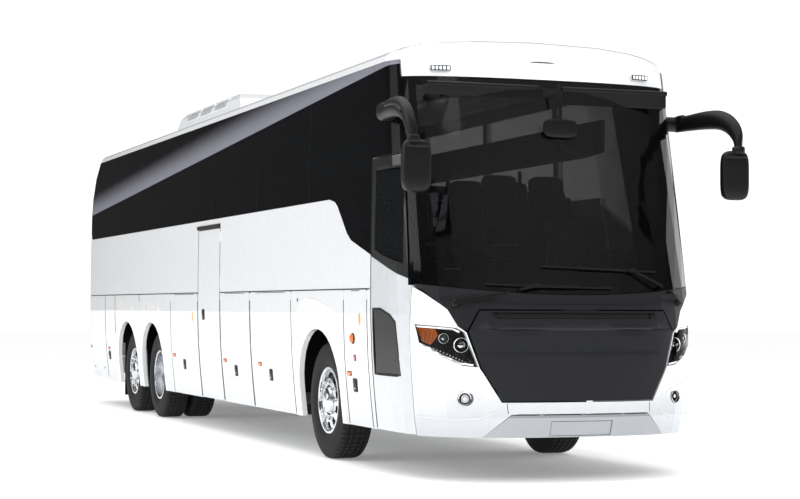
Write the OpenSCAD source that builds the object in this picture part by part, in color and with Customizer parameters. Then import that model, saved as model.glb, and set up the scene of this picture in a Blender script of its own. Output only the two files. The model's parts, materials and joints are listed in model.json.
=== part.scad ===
// Touring coach with three axles. The X axis runs forward, Y to the left and Z up.
// The origin is on the ground, under the middle of the coach.

/* [Body] */
// Length over the bumpers
coach_len = 13700; // [13300:50:14300]
// Width over the side walls
body_w = 2550; // [2450:10:2600]
// Height of the roof skin above the ground
roof_h = 3560; // [3500:10:3700]
// Height of the lower edge of the side skirts
skirt_h = 350; // [300:5:380]
// Height of the luggage flaps' upper edge
luggage_h = 1500; // [1470:5:1540]
// Height of the windows' lower edge
belt_h = 2295; // [2200:5:2350]
// Height of the windows' upper edge
glass_top_h = 3350; // [3280:5:3360]
// Thickness of a side wall with its lining
wall_t = 60; // [40:1:75]
// Thickness of a bonded window pane
pane_t = 8; // [5:0.5:10]
// Gap between two fixed panels
seam = 6; // [5:0.5:9]
// Gap around a door or a flap
door_seam = 12; // [10:0.5:18]

/* [Wheels] */
// Distance from the middle of the coach to the front axle
front_axle_x = 4000; // [3950:10:4050]
// Distance between the front axle and the drive axle
wheelbase = 6700; // [6500:10:6750]
// Distance between the drive axle and the tag axle
tag_spacing = 1430; // [1400:5:1460]
// Outer radius of a tyre
tyre_r = 520; // [480:1:530]
// Width of a tyre
tyre_w = 295; // [260:1:305]
// Radius of the rim under the tyre's bead
bead_r = 286; // [270:1:290]
// Distance from the middle plane to the middle of an outer tyre
track_y = 1030; // [1000:1:1045]
// Distance between the middles of two twin tyres
twin_pitch = 335; // [330:1:350]
// Distance from the middle plane to a kingpin
kingpin_y = 900; // [880:1:910]
// Radius of a kingpin
kingpin_r = 24; // [20:0.5:28]
// Radius of a wheel spindle
spindle_r = 45; // [40:0.5:50]
// Running clearance of a pin or spindle in its bore
running_gap = 0.05; // [0.02:0.01:0.1]

/* [Doors and flaps] */
// Width of the front doorway
front_door_w = 800; // [760:5:815]
// Height of the front door's upper edge
front_door_top = 2575; // [2500:5:2640]
// Height of the middle door's upper edge
mid_door_top = 2205; // [2100:5:2225]
// Thickness of a door leaf
door_t = 45; // [35:1:55]
// Thickness of a luggage flap
flap_t = 28; // [20:1:35]

/* [Cabin] */
// Height of the passenger floor's upper side
floor_h = 1450; // [1420:5:1460]
// Height of the driver's platform
platform_h = 1000; // [960:5:1050]
// Distance between two rows of seats
seat_pitch = 820; // [780:5:900]
// Width of one seat
seat_w = 450; // [420:5:470]
// Radius of the steering wheel's rim
steering_r = 225; // [200:1:240]

/* [Hidden] */
$fn = 48;

white = [0.93, 0.93, 0.94];
black = [0.05, 0.05, 0.06];
charcoal = [0.13, 0.13, 0.14];
glass = [0.06, 0.07, 0.08, 0.6];
grey = [0.45, 0.46, 0.48];
silver = [0.75, 0.76, 0.78];
rubber = [0.04, 0.04, 0.04];

RIGHT = -1;
LEFT = 1;
half_len = coach_len / 2;
half_w = body_w / 2;
drive_axle_x = front_axle_x - wheelbase;
tag_axle_x = drive_axle_x - tag_spacing;
far = 2000;
// Hairline between a hinge rod, or a seated piece, and what it lies against
hinge_gap = 0.3;

// How far the side wall leans in at the skirt and at the roof edge
skirt_lean = 68;
top_lean = 30;
// Exponent of the rounded plan shape of the nose and the tail
plan_power = 2.6;

// Half of the body's width at height z
function half_at(z) =
    z < 1300 ? half_w - skirt_lean * pow((1300 - z) / 950, 1.7)
    : z > 1700 ? half_w - top_lean * pow((z - 1700) / 1650, 1.5)
    : half_w;

// Where the nose starts to curve, and how far it stands out from there, at height z
function nose_start(z) = half_len - lookup(z, [[0, 920], [1460, 925], [3200, 1107], [3600, 1150]]);
function nose_depth(z) =
    lookup(z, [[0, 845], [350, 860], [505, 920], [640, 900], [1180, 870], [1460, 815], [3200, 377],
        [3600, 280]]);
// The same for the tail, which rounds over into the roof
function tail_start(z) =
    half_len - lookup(z, [[0, 290], [2600, 290], [2870, 350], [3140, 520], [3350, 800], [3600, 1100]]);
function tail_depth(z) = lookup(z, [[0, 285], [600, 290], [2600, 290], [3140, 280], [3350, 250],
    [3600, 200]]);

// A station on the body's outline is [end, side, s]. With s at or below 0 it lies that far from the
// nose or tail on the flat flank, and above 0 it is an angle, 90 at the middle plane.
NOSE = 1;
TAIL = -1;
function skin_point(station, z, depth) =
    let (end = station[0], side = station[1], s = station[2],
         start = end == NOSE ? nose_start(z) : tail_start(z),
         bulge = (end == NOSE ? nose_depth(z) : tail_depth(z)) - depth,
         half = half_at(z) - depth)
    s <= 0 ? [end * (start + s), side * half, z]
    : [end * (start + bulge * pow(sin(s), 2 / plan_power)), side * half * pow(cos(s), 2 / plan_power), z];

// x of the nose's outside at y and z
function nose_x(y, z, depth = 0) =
    nose_start(z) + (nose_depth(z) - depth) * pow(1 - pow(abs(y) / (half_at(z) - depth), plan_power),
        1 / plan_power);

curve_angles = [8, 18, 28, 38, 48, 58, 68, 79];
nose_stations = concat(
    [for (s = [-1300, 0]) [NOSE, RIGHT, s]],
    [for (s = curve_angles) [NOSE, RIGHT, s]],
    [[NOSE, RIGHT, 90]],
    [for (i = [len(curve_angles) - 1:-1:0]) [NOSE, LEFT, curve_angles[i]]],
    [for (s = [0, -1300]) [NOSE, LEFT, s]]);
tail_stations = concat(
    [for (s = [-500, 0]) [TAIL, LEFT, s]],
    [for (s = curve_angles) [TAIL, LEFT, s]],
    [[TAIL, LEFT, 90]],
    [for (i = [len(curve_angles) - 1:-1:0]) [TAIL, RIGHT, curve_angles[i]]],
    [for (s = [0, -500]) [TAIL, RIGHT, s]]);
right_stations = concat(
    [for (i = [5:-1:0]) [TAIL, RIGHT, curve_angles[i]]],
    [[TAIL, RIGHT, 0], [NOSE, RIGHT, 0]],
    [for (s = curve_angles) if (s < 60) [NOSE, RIGHT, s]]);
left_stations = concat(
    [for (i = [5:-1:0]) [NOSE, LEFT, curve_angles[i]]],
    [[NOSE, LEFT, 0], [TAIL, LEFT, 0]],
    [for (s = curve_angles) if (s < 60) [TAIL, LEFT, s]]);

pane_heights = [1200, 1700, 2100, 2600, 2870, 3140, glass_top_h + 30];
wall_heights = [skirt_h, 500, 700, 950, 1300, 1700, 2100, 2600, 2870, 3140, glass_top_h];
nose_heights = [skirt_h, 505, 640, 900, 1180, 1460, 1900, 2350, 2800, 3200, glass_top_h];

// A closed sheet between two grids of points, whose rows run anticlockwise seen from above
module sheet(outer, inner) {
    nu = len(outer);
    nv = len(outer[0]);
    points = concat([for (row = outer) each row], [for (row = inner) each row]);
    function o(i, j) = i * nv + j;
    function n(i, j) = (nu + i) * nv + j;
    last = nu - 1;
    top = nv - 1;
    faces = concat(
        [for (i = [0:last - 1], j = [0:top - 1]) each
            [[o(i, j), o(i, j + 1), o(i + 1, j + 1)], [o(i, j), o(i + 1, j + 1), o(i + 1, j)],
             [n(i, j), n(i + 1, j), n(i + 1, j + 1)], [n(i, j), n(i + 1, j + 1), n(i, j + 1)]]],
        [for (i = [0:last - 1]) each
            [[o(i, 0), o(i + 1, 0), n(i + 1, 0), n(i, 0)],
             [o(i + 1, top), o(i, top), n(i, top), n(i + 1, top)]]],
        [for (j = [0:top - 1]) each
            [[o(0, j + 1), o(0, j), n(0, j), n(0, j + 1)],
             [o(last, j), o(last, j + 1), n(last, j + 1), n(last, j)]]]);
    polyhedron(points, faces, convexity = 8);
}

// A stretch of the body's skin between two depths under its outside
module skin(stations, heights, depth_0, depth_1) {
    sheet([for (s = stations) [for (z = heights) skin_point(s, z, depth_0)]],
          [for (s = stations) [for (z = heights) skin_point(s, z, depth_1)]]);
}

// Prisms that cut one side, from an outline in x and z, or the nose or the tail, from one in y and z
module side_prism(side, inner_y = 900) {
    if (side == RIGHT) translate([0, -inner_y, 0]) rotate([90, 0,
        0]) linear_extrude(far - inner_y) children();
    else translate([0, far, 0]) rotate([90, 0, 0]) linear_extrude(far - inner_y) children();
}
module end_prism(end, from_x = 5000) {
    translate([end == NOSE ? from_x : -from_x - far - 500, 0, 0]) rotate([90, 0, 90])
        linear_extrude(far + 500) children();
}
module span(a0, a1, b0, b1) {
    translate([a0, b0]) square([a1 - a0, b1 - b0]);
}
module block(low, high) {
    translate(low) cube(high - low);
}

// Outline in x and z of a wheel arch trim, rear and front being its reach at the skirt
function arch_outline(axle_x, rear, front, gap = 0) =
    [for (p = [[-rear, skirt_h - 50], [-rear * 0.99, 420], [-rear * 0.87, 1190], [-rear * 0.76, 1345],
               [-rear * 0.56, 1422], [-rear * 0.34, 1440], [front * 0.1, 1413], [front * 0.52, 1359],
               [front * 0.74, 1286], [front * 0.86, 1150], [front * 0.925, 837], [front * 0.995, 420],
               [front, skirt_h - 50]])
        [axle_x + p[0] + sign(p[0]) * gap, p[1] + (p[1] > 1100 ? gap : 0)]];
// Hairline between a wheel arch trim and the wall
trim_seam = 0.7;
arch_half = 590;
arch_top = 1160;
function arch_opening(axle_x) =
    concat([[axle_x + arch_half, skirt_h - 60]],
        [for (a = [0:12:180]) [axle_x + arch_half * cos(a), 640 + (arch_top - 640) * sin(a)]],
        [[axle_x - arch_half, skirt_h - 60]]);
// Each arch is [axle, rear reach, front reach]
arches = [[front_axle_x, 760, 706], [drive_axle_x, 625, 670], [tag_axle_x, 715, 625]];

// Edges in x of the flaps and doors
front_door_x0 = front_axle_x + 1470;
front_door_x1 = front_door_x0 + front_door_w;
// Rear edge of the front panel
front_panel_x = front_door_x1 + door_seam / 2;
mid_door_x0 = front_axle_x - 4338;
mid_door_x1 = front_axle_x - 3376;
flap_spans = [[front_axle_x - 2202, front_axle_x - 770], [mid_door_x1, front_axle_x - 2202],
              [front_axle_x - 5665, mid_door_x0]];
service_span = [front_axle_x + 761, front_axle_x + 1394];

// Outline in x and z of the windows on one side, with the sweep down to the windscreen
sweep_points = [[355, 0], [503, -28], [578, -69], [709, -184], [849, -313], [960, -376], [1471, -511],
    [2290, -732]];
function glass_outline(grow) = concat(
    [[-half_len + 730, glass_top_h + grow], [-half_len + 405 - grow, 3150 + grow],
        [-half_len + 217 - grow, 2868],
     [-half_len + 157 - grow, 2631], [-half_len + 233 - grow, 2440], [-half_len + 362, belt_h - grow]],
    [for (p = sweep_points) [front_axle_x + p[0], belt_h + p[1] - grow]],
    [[half_len - 400, belt_h - 732 - grow], [half_len - 400, glass_top_h + grow]]);
pane_edges = [-half_len, -5080, -3310, -1540, 240, 2010, 3730, front_door_x0];
pillar_w = 110;
// Where the windscreen's side edge lies, in y, at height z
function screen_edge(z) = half_at(z) * lookup(z, [[1540, 0.953], [3200, 0.938]]);
screen_base = 1460;
screen_top = 3205;
function screen_low(y) = screen_base + 84 * pow(y / 1215, 2);
// x of the flank where the windscreen starts, at height z
function corner_x(z) = nose_x(screen_edge(z), z);
// Outline in y and z of the windscreen's zone, grown sideways, that walls, panes and doors keep out of
screen_corner_h = 1540;
function nose_zone(grow) = both_sides([[screen_edge(3200) + grow, 3370], [screen_edge(3200) + grow, 3200],
     [screen_edge(screen_corner_h) + grow, screen_corner_h - grow]]);
// How far the front door's front edge leans back at its top
door_lean = (corner_x(1540) - corner_x(3200)) * (front_door_top - 1540) / (3200 - 1540);

// ---- Chassis, axles and wheels ----

rail_y = 360;
rail_w = 70;
hold_floor = 470;

// Rails, cross members between them and posts up to the floor, for one end's subframe
module end_frame(x0, x1, cross_x) {
    for (side = [RIGHT, LEFT])
        block([x0, side * rail_y - rail_w / 2, 700], [x1, side * rail_y + rail_w / 2, 860]);
    for (x = cross_x) block([x, -rail_y, 720], [x + 60, rail_y, 840]);
    for (x = cross_x, side = [RIGHT, LEFT])
        block([x, side * rail_y - 25, 850], [x + 60, side * rail_y + 25,
            (x < 4800 ? floor_h : platform_h) - floor_t]);
}
module front_frame() {
    color(grey) {
        end_frame(3280, 6350, [3290, 4700, 5600, 6280]);
        // Uprights down to the hold's sills
        for (side = [RIGHT, LEFT])
            block([3280, side * rail_y - rail_w / 2, hold_floor - 20],
                [3350, side * rail_y + rail_w / 2, 710]);
        // Towing eye behind the front bumper
        difference() {
            block([6340, -30, 480], [6620, 30, 560]);
            translate([6570, 0, 400]) cylinder(h = 300, r = 21);
        }
        block([6280, -60, 480], [6345, 60, 730]);
    }
}
module hold_frame() {
    color(grey) {
        for (side = [RIGHT, LEFT]) {
            block([-1760, side * 400 - 40, hold_floor - 90], [3350, side * 400 + 40, hold_floor - 20]);
            block([-1700, side * 1080 - 30, hold_floor - 90], [3230, side * 1080 + 30, hold_floor - 20]);
        }
        for (x = [-1700, -750, 180, 1200, 2200, 3160])
            block([x, -1110, hold_floor - 80], [x + 60, 1110, hold_floor - 20]);
    }
}
module rear_frame() {
    color(grey) {
        end_frame(-6480, -1700, [-6440, -4650, -3440, -2000]);
        // Uprights down to the hold's sills
        for (side = [RIGHT, LEFT])
            block([-1770, side * rail_y - rail_w / 2, hold_floor - 20],
                [-1700, side * rail_y + rail_w / 2, 710]);
    }
}

module tyre_at(x, y) {
    mid = bead_r + 30;
    translate([x, y, tyre_r]) rotate([90, 0, 0]) rotate_extrude($fn = 96)
        polygon([[bead_r + 0.2, -tyre_w * 0.398], [bead_r + 15, -tyre_w * 0.398],
            [bead_r + 17, -tyre_w * 0.44], [mid + 50, -tyre_w * 0.49],
                 [mid + 85, -tyre_w * 0.5], [tyre_r - 60, -tyre_w * 0.485], [tyre_r - 22, -tyre_w * 0.45],
                 [tyre_r - 4, -tyre_w * 0.40], [tyre_r, -tyre_w * 0.33],
                 [tyre_r, tyre_w * 0.33], [tyre_r - 4, tyre_w * 0.40], [tyre_r - 22, tyre_w * 0.45],
                 [tyre_r - 60, tyre_w * 0.485], [mid + 85, tyre_w * 0.5], [mid + 50, tyre_w * 0.49],
                 [bead_r + 17, tyre_w * 0.44], [bead_r + 15, tyre_w * 0.398],
                     [bead_r + 0.2, tyre_w * 0.398]]);
}

// Barrel of a rim, flange to flange, in radius and distance from the tyre's middle
function barrel_half() = [[bead_r - 14, -tyre_w * 0.41], [bead_r, -tyre_w * 0.40], [bead_r, tyre_w * 0.40],
                          [bead_r + 14, tyre_w * 0.40], [bead_r + 14, tyre_w * 0.43],
                              [bead_r - 14, tyre_w * 0.43]];

// A rim with its disc bulging outwards. Its axis is +Y, outwards.
module convex_rim() {
    rotate([-90, 0, 0]) rotate_extrude($fn = 72) {
        polygon(barrel_half());
        polygon([[spindle_r + running_gap, 60], [95, 60], [125, 96], [bead_r - 60, 92], [bead_r - 10, 60],
                 [bead_r - 10, 84], [bead_r - 40, 108], [bead_r - 80, 116], [140, 118], [118, 112],
                     [105, 138],
                 [70, 150], [spindle_r + running_gap, 150]]);
    }
    rotate([-90, 0, 0]) translate([0, 0, 146]) cylinder(h = 16, r = 66);
}

// A rim with its disc set deep behind the flange, for twin tyres. Its axis is +Y, outwards.
module dished_rim() {
    rotate([-90, 0, 0]) rotate_extrude($fn = 72) {
        polygon(barrel_half());
        polygon([[spindle_r + running_gap, -60], [bead_r - 70, -60], [bead_r - 10, -20], [bead_r - 10, 6],
                 [bead_r - 75, -34], [150, -36], [142, 24], [118, 40], [spindle_r + running_gap, 40]]);
    }
    rotate([-90, 0, 0]) translate([0, 0, 36]) cylinder(h = 18, r = 92);
}
module inner_rim() {
    rotate([-90, 0, 0]) rotate_extrude($fn = 72) {
        polygon(barrel_half());
        polygon([[spindle_r + running_gap, 60], [bead_r - 70, 60], [bead_r - 10, 20], [bead_r - 10, 46],
                 [bead_r - 75, 88], [spindle_r + running_gap, 88]]);
    }
}

module rim_place(axle_x, side, y) {
    translate([axle_x, side * y, tyre_r]) mirror([0, side == RIGHT ? 1 : 0, 0]) children();
}
module twin_tyres(side) {
    color(rubber) for (y = [track_y, track_y - twin_pitch]) tyre_at(drive_axle_x, side * y);
}
module twin_rims(side) {
    color(silver) {
        rim_place(drive_axle_x, side, track_y) dished_rim();
        rim_place(drive_axle_x, side, track_y - twin_pitch) inner_rim();
        // Ring that joins the two discs
        rim_place(drive_axle_x, side, track_y - twin_pitch) rotate([-90, 0, 0]) difference() {
            translate([0, 0, 80]) cylinder(h = twin_pitch - 130, r = 180);
            translate([0, 0, 79]) cylinder(h = twin_pitch - 128, r = 100);
        }
    }
}

// Heights of the kingpin's parts, from the wheel's middle
boss_half = 70;
ear_t = 42;
ear_gap = 1;
spindle_end = 140;

module knuckle(side) {
    color(grey) translate([front_axle_x, side * kingpin_y, tyre_r]) mirror([0, side == RIGHT ? 1 : 0, 0]) {
        difference() {
            union() {
                for (z = [boss_half + ear_gap, -boss_half - ear_gap - ear_t]) translate([0, 0, z]) {
                    cylinder(h = ear_t, r = 48);
                    block([-45, 0, 0], [45, 78, ear_t]);
                }
                block([-45, 62, -boss_half - ear_t - ear_gap], [45, 84, boss_half + ear_t + ear_gap]);
                // Steering arm
                block([-200, -40, -boss_half - ear_gap - ear_t],
                    [-30, 10, -boss_half - ear_gap - ear_t + 30]);
                translate([0, 80, 0]) rotate([-90, 0, 0]) cylinder(h = 28, r = 90);
            }
            translate([0, 0, -200]) cylinder(h = 400, r = kingpin_r + running_gap);
        }
        translate([0, 100, 0]) rotate([-90, 0, 0]) cylinder(h = track_y - kingpin_y + spindle_end - 100,
            r = spindle_r);
    }
}

module spindle(axle_x, side, from_y) {
    translate([axle_x, side == RIGHT ? -from_y : from_y, tyre_r]) rotate([side == RIGHT ? 90 : -90, 0, 0])
        cylinder(h = track_y + (from_y < 500 ? 30 : spindle_end) - from_y, r = spindle_r);
}
module axles() {
    color(grey) {
        // Dropped front beam with its kingpins
        for (side = [RIGHT, LEFT]) translate([front_axle_x, side * kingpin_y, tyre_r]) {
            translate([0, 0, -boss_half]) cylinder(h = 2 * boss_half, r = 46);
            translate([0, 0, -boss_half - ear_gap - ear_t - 12])
                cylinder(h = 2 * (boss_half + ear_gap + ear_t + 12), r = kingpin_r);
        }
        translate([front_axle_x - 40, 0, 0]) rotate([90, 0, 90]) linear_extrude(80)
            polygon([[-kingpin_y, 480], [-kingpin_y + 130, 470], [-600, 380], [600, 380],
                [kingpin_y - 130, 470], [kingpin_y, 480],
                     [kingpin_y, 570], [kingpin_y - 150, 565], [590, 470], [-590, 470],
                         [-kingpin_y + 150, 565], [-kingpin_y, 570]]);
        for (side = [RIGHT, LEFT]) block([front_axle_x - 90, side * rail_y - 60, 468],
            [front_axle_x + 90, side * rail_y + 60, 700]);
        // Drive axle with its differential
        translate([drive_axle_x, 0, tyre_r]) {
            rotate([90, 0, 0]) cylinder(h = 1040, r = 75, center = true);
            sphere(r = 195);
        }
        for (side = [RIGHT, LEFT]) spindle(drive_axle_x, side, 400);
        for (side = [RIGHT, LEFT]) block([drive_axle_x - 90, side * rail_y - 60, 560],
            [drive_axle_x + 90, side * rail_y + 60, 700]);
        // Tag axle
        translate([tag_axle_x, 0, tyre_r]) rotate([90, 0, 0]) cylinder(h = 2 * (track_y - tyre_w / 2),
            r = 60, center = true);
        for (side = [RIGHT, LEFT]) {
            spindle(tag_axle_x, side, 800);
            translate([tag_axle_x, side * (track_y - 100), tyre_r]) rotate([90, 0, 0]) cylinder(h = 60,
                r = 110, center = true);
            block([tag_axle_x - 90, side * rail_y - 60, 560], [tag_axle_x + 90, side * rail_y + 60, 700]);
        }
    }
}

module engine() {
    color(grey) block([-6300, rail_w / 2 - rail_y, 620], [-4900, rail_y - rail_w / 2, 1320]);
}

housing_t = 8;
module housing_at(axle_x, side, inner_y, half_x) {
    y0 = side == RIGHT ? -1180 : inner_y;
    y1 = side == RIGHT ? -inner_y : 1180;
    difference() {
        block([axle_x - half_x - housing_t, y0, 560], [axle_x + half_x + housing_t, y1, 1240]);
        block([axle_x - half_x, side == RIGHT ? y0 - 1 : y0 + housing_t, 559],
              [axle_x + half_x, side == RIGHT ? y1 - housing_t : y1 + 1, 1240 - housing_t]);
    }
}
module wheel_housings() {
    color(black) for (side = [RIGHT, LEFT]) {
        housing_at(front_axle_x, side, 470, 660);
        difference() {
            y0 = side == RIGHT ? -1180 : 470;
            y1 = side == RIGHT ? -470 : 1180;
            block([tag_axle_x - 640, y0, 870], [drive_axle_x + 640, y1, 1240]);
            block([tag_axle_x - 632, side == RIGHT ? y0 - 1 : y0 + housing_t, 869],
                  [drive_axle_x + 632, side == RIGHT ? y1 - housing_t : y1 + 1, 1232]);
        }
        // Lips that meet the arch trims
        for (a = arches) block([a[0] - 500, side == RIGHT ? -1227.2 : 1170, 1232],
            [a[0] + 400, side == RIGHT ? -1170 : 1227.2, 1240]);
        // Mudflap behind the tag wheel
        block([tag_axle_x - 640, side * 1005 - 145, 180], [tag_axle_x - 632, side * 1005 + 145, 880]);
    }
}

// ---- Floor, holds and cabin ----

floor_t = 50;
cabin_half = 1195;
stair_inner = 470;
stair_w = 230;
module floor() {
    color(grey) {
        difference() {
            block([-6500, -cabin_half, floor_h - floor_t], [4960, cabin_half, floor_h]);
            block([mid_door_x0 + 10, -1400, 1000], [mid_door_x1 - 10, -stair_inner, 2000]);
        }
        // Driver's platform and the bulkhead behind it
        block([4900, -430, platform_h - floor_t], [6300, 1070, platform_h]);
        block([4900, -cabin_half, platform_h - floor_t], [4960, cabin_half, floor_h]);
    }
}
module entry_steps() {
    color(grey) {
        // Front steps
        for (i = [0:2]) block([5500, -1100 + i * stair_w, 400 + i * 195],
            [6100, -1100 + (i + 1) * stair_w, 440 + i * 195]);
        for (i = [0:1]) block([5500, -1120 + (i + 1) * stair_w, 400 + i * 195],
            [6100, -1100 + (i + 1) * stair_w, 635 + i * 195]);
        block([5500, -450, 790], [6100, -430, platform_h]);
        // Middle steps
        for (i = [0:3]) {
            y = i * 170 - 1150;
            z = hold_floor - 20 + i * 250;
            block([mid_door_x0 + 10, y, z], [mid_door_x1 - 10, y + 170, z + 40]);
            block([mid_door_x0 + 10, y + 160, z], [mid_door_x1 - 10, y + 170, min(z + 250, floor_h)]);
        }
    }
}

module luggage_holds() {
    color(grey) {
        block([-1660, -1150, hold_floor - 20], [mid_door_x0 - 25, 1150, hold_floor]);
        block([mid_door_x1 + 25, -1150, hold_floor - 20], [3235, 1150, hold_floor]);
        block([mid_door_x0 - 25, -400, hold_floor - 20], [mid_door_x1 + 25, 1150, hold_floor]);
        for (x = [-1680, 3220]) block([x, -1150, hold_floor - 20], [x + 20, 1150, floor_h - floor_t]);
        for (x = [mid_door_x0 - 25, mid_door_x1 + 5]) block([x, -1150, hold_floor - 20],
            [x + 20, -400, floor_h - floor_t]);
    }
}

module seat(x, y, base) {
    translate([x, y + seat_w / 2 - 8, base]) rotate([90, 0, 0]) linear_extrude(seat_w - 16)
        polygon([[60, 60], [120, 0], [330, 0], [360, 330], [480, 350], [490, 440], [470, 460], [40, 425],
                 [-60, 1010], [-105, 1120], [-165, 1125], [-180, 1040], [-70, 380], [0, 330]]);
}
seat_rows = 13;
module seats() {
    color([0.12, 0.13, 0.16]) {
        for (i = [0:seat_rows - 1], y = [-930, -460, 460, 930]) {
            x = 4150 - i * seat_pitch;
            if (x > -6300 && (y > 0 || x < mid_door_x0 - 380 || x > mid_door_x1 + 250))
                seat(x, y, floor_h);
        }
        seat(5230, 620, platform_h);
    }
}

steering_pos = [6010, 600, 1690];
steering_tilt = 35;
module dashboard() {
    // Steering column
    color(charcoal) translate(steering_pos) rotate([0, -steering_tilt, 0]) translate([0, 0,
        -400]) cylinder(h = 370 - hinge_gap, r = 30);
    color(charcoal) difference() {
        intersection() {
            skin(nose_stations, [platform_h, 1180, 1460, 1700], 110, 700);
            block([5600, -1100, platform_h], [6700, 1100, 1640]);
        }
        block([5000, -1200, 900], [6420, -260, 1700]);
        block([5000, -300, 900], [6180, 1300, 1470]);
        block([5000, -300, 1469], [6100, 1300, 1700]);
    }
}

module steering_wheel() {
    color(black) translate(steering_pos) rotate([0, -steering_tilt, 0]) {
        rotate_extrude($fn = 64) translate([steering_r - 16, 0]) circle(r = 15, $fn = 24);
        for (a = [0, 130, 230]) rotate([0, 0, a + 180]) block([20, -16, -10], [steering_r - 20, 16, 4]);
        translate([0, 0, -30]) cylinder(h = 40, r = 52);
    }
}

module luggage_racks() {
    color(charcoal) for (side = [RIGHT, LEFT])
        translate([-6100, 0, 0]) rotate([90, 0, 90]) linear_extrude(10900)
            polygon([for (p = [[1192.4, 3050], [1192, 2760], [1000, 2700], [760, 2760], [740, 2870],
                [770, 2880], [800, 2800], [1000, 2745], [1150, 2800], [1150, 3050]]) [side * p[0], p[1]]]);
}

// ---- Walls, roof and glazing ----

module flap_hole(side, span_x, grow = 0) {
    side_prism(side) span(span_x[0] - grow, span_x[1] + grow, skirt_h - 100, luggage_h + grow);
}
module arch_holes(side) {
    for (a = arches) side_prism(side) polygon(arch_outline(a[0], a[1], a[2], trim_seam));
}
// Window openings in the wall, between the pillars
module window_holes(side, grow = 0) {
    for (i = [0:len(pane_edges) - 2]) {
        x0 = max(pane_edges[i], -6420) + pillar_w / 2;
        x1 = pane_edges[i + 1] - pillar_w / 2;
        side_prism(side) span(x0 - grow, x1 + grow, belt_h + 60, glass_top_h - 90);
    }
    // Window of the front corner, ahead of the last pillar
    side_prism(side) polygon([[front_door_x0 - 800, 2360], [front_door_x0 - 800, 2300],
        [front_door_x0 - 60, 1960], [front_door_x0 - 60, 2360]]);
}
// Where the tail panel meets the side walls, in y
tail_edge = 1170;
module wall(side) {
    stations = side == RIGHT ? right_stations : left_stations;
    difference() {
        skin(stations, wall_heights, 0, wall_t);
        // Recess for the panes
        intersection() {
            skin(stations, pane_heights, -20, pane_t + 0.4);
            side_prism(side) polygon(glass_outline(0));
        }
        arch_holes(side);
        window_holes(side);
        for (f = flap_spans) flap_hole(side, f);
        // Behind the tail corner and ahead of the nose corner the end panels take over
        end_prism(TAIL, 4500) span(-tail_edge, tail_edge, 0, 4000);
        end_prism(NOSE) polygon(nose_zone(seam));
        side_prism(side, 0) span(front_panel_x - seam, 8000, 300, screen_corner_h);
        // The rear skirt rises behind the tag axle
        side_prism(side) polygon([[tag_axle_x - 1500, 300], [tag_axle_x - 1500, 352], [-7000, 415],
            [-7000, 300]]);
        children();
    }
}
module right_wall() {
    color(white) wall(RIGHT) {
        union() {
            side_prism(RIGHT) span(mid_door_x0, mid_door_x1 + 4, skirt_h - 100, mid_door_top + 4);
            side_prism(RIGHT) polygon([[front_door_x0 - door_seam / 2, 300],
                [half_len, 300], [half_len, front_door_top + door_seam / 2],
                [front_door_x0 - door_seam / 2, front_door_top + door_seam / 2]]);
            flap_hole(RIGHT, service_span);
            // Window over the front door
            side_prism(RIGHT) polygon([[front_door_x0 + 90, front_door_top + 70],
                [front_door_x0 + 90, glass_top_h - 90],
                [front_door_x0 + 390, glass_top_h - 90], [front_door_x0 + 480, front_door_top + 70]]);
        }
    }
}
module left_wall() {
    // Driver's window
    color(white) wall(LEFT) side_prism(LEFT) polygon([[front_door_x0 + 60, 1900],
        [front_door_x0 + 60, 2900],
        [front_door_x0 + 530, 2900], [front_door_x1 - 90, 1760], [front_door_x0 + 300, 1790]]);
}

// Panes of one side: one between each two seams, and the swept one at the front
module panes(side) {
    stations = side == RIGHT ? right_stations : left_stations;
    for (i = [0:len(pane_edges) - 1]) {
        x0 = pane_edges[i] + seam / 2;
        x1 = i < len(pane_edges) - 1 ? pane_edges[i + 1] - seam / 2 : half_len;
        intersection() {
            skin(stations, pane_heights, 0, pane_t);
            side_prism(side) polygon(glass_outline(-1));
            difference() {
                side_prism(side) span(x0, x1, 1000, glass_top_h - 1);
                end_prism(NOSE) polygon(nose_zone(seam + 1));
                side_prism(side, 0) span(front_panel_x - seam - 1, 8000, 300, screen_corner_h);
                if (side == RIGHT)
                    side_prism(side) polygon([[front_door_x0 - door_seam / 2, 300], [half_len, 300],
                        [half_len, front_door_top + door_seam / 2],
                        [front_door_x0 - door_seam / 2, front_door_top + door_seam / 2]]);
            }
        }
    }
}
module right_windows() {
    color(glass) panes(RIGHT);
}
module left_windows() {
    color(glass) panes(LEFT);
}

module wheel_arch_trims() {
    color(white) for (side = [RIGHT, LEFT], a = arches) intersection() {
        skin(side == RIGHT ? right_stations : left_stations, [skirt_h, 500, 700, 950, 1300, 1700], -4, 45);
        difference() {
            side_prism(side) polygon(arch_outline(a[0], a[1], a[2]));
            side_prism(side) polygon(arch_opening(a[0]));
        }
    }
}

roof_t = 50;
roof_power = 2.4;
// Point of the roof at a station and a share of its half width, from the right edge at -1 to the left one at 1
function roof_point(station, share, depth) =
    let (edge = skin_point(station, glass_top_h, depth),
         start = station[0] == NOSE ? nose_start(glass_top_h) : tail_start(glass_top_h),
         bulge = (station[0] == NOSE ? nose_depth(glass_top_h) : tail_depth(glass_top_h)) - depth,
         along = max(0, (abs(edge[0]) - start) / bulge),
         y = share * edge[1],
         reach = pow(along, plan_power) + pow(abs(y) / (half_at(glass_top_h) - depth), plan_power))
    [edge[0], y, glass_top_h + 0.5 + (roof_h - glass_top_h - 0.5 - depth) * pow(max(0, 1 - pow(reach,
        roof_power / plan_power)), 1 / roof_power)];
roof_angles = [87.5, 80, 70, 58, 46, 32, 16, 0];
roof_stations = concat([for (s = roof_angles) [TAIL, LEFT, s]],
    [for (i = [len(roof_angles) - 1:-1:0]) [NOSE, LEFT, roof_angles[i]]]);
roof_shares = [-1, -0.985, -0.95, -0.88, -0.75, -0.5, 0, 0.5, 0.75, 0.88, 0.95, 0.985, 1];
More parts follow.
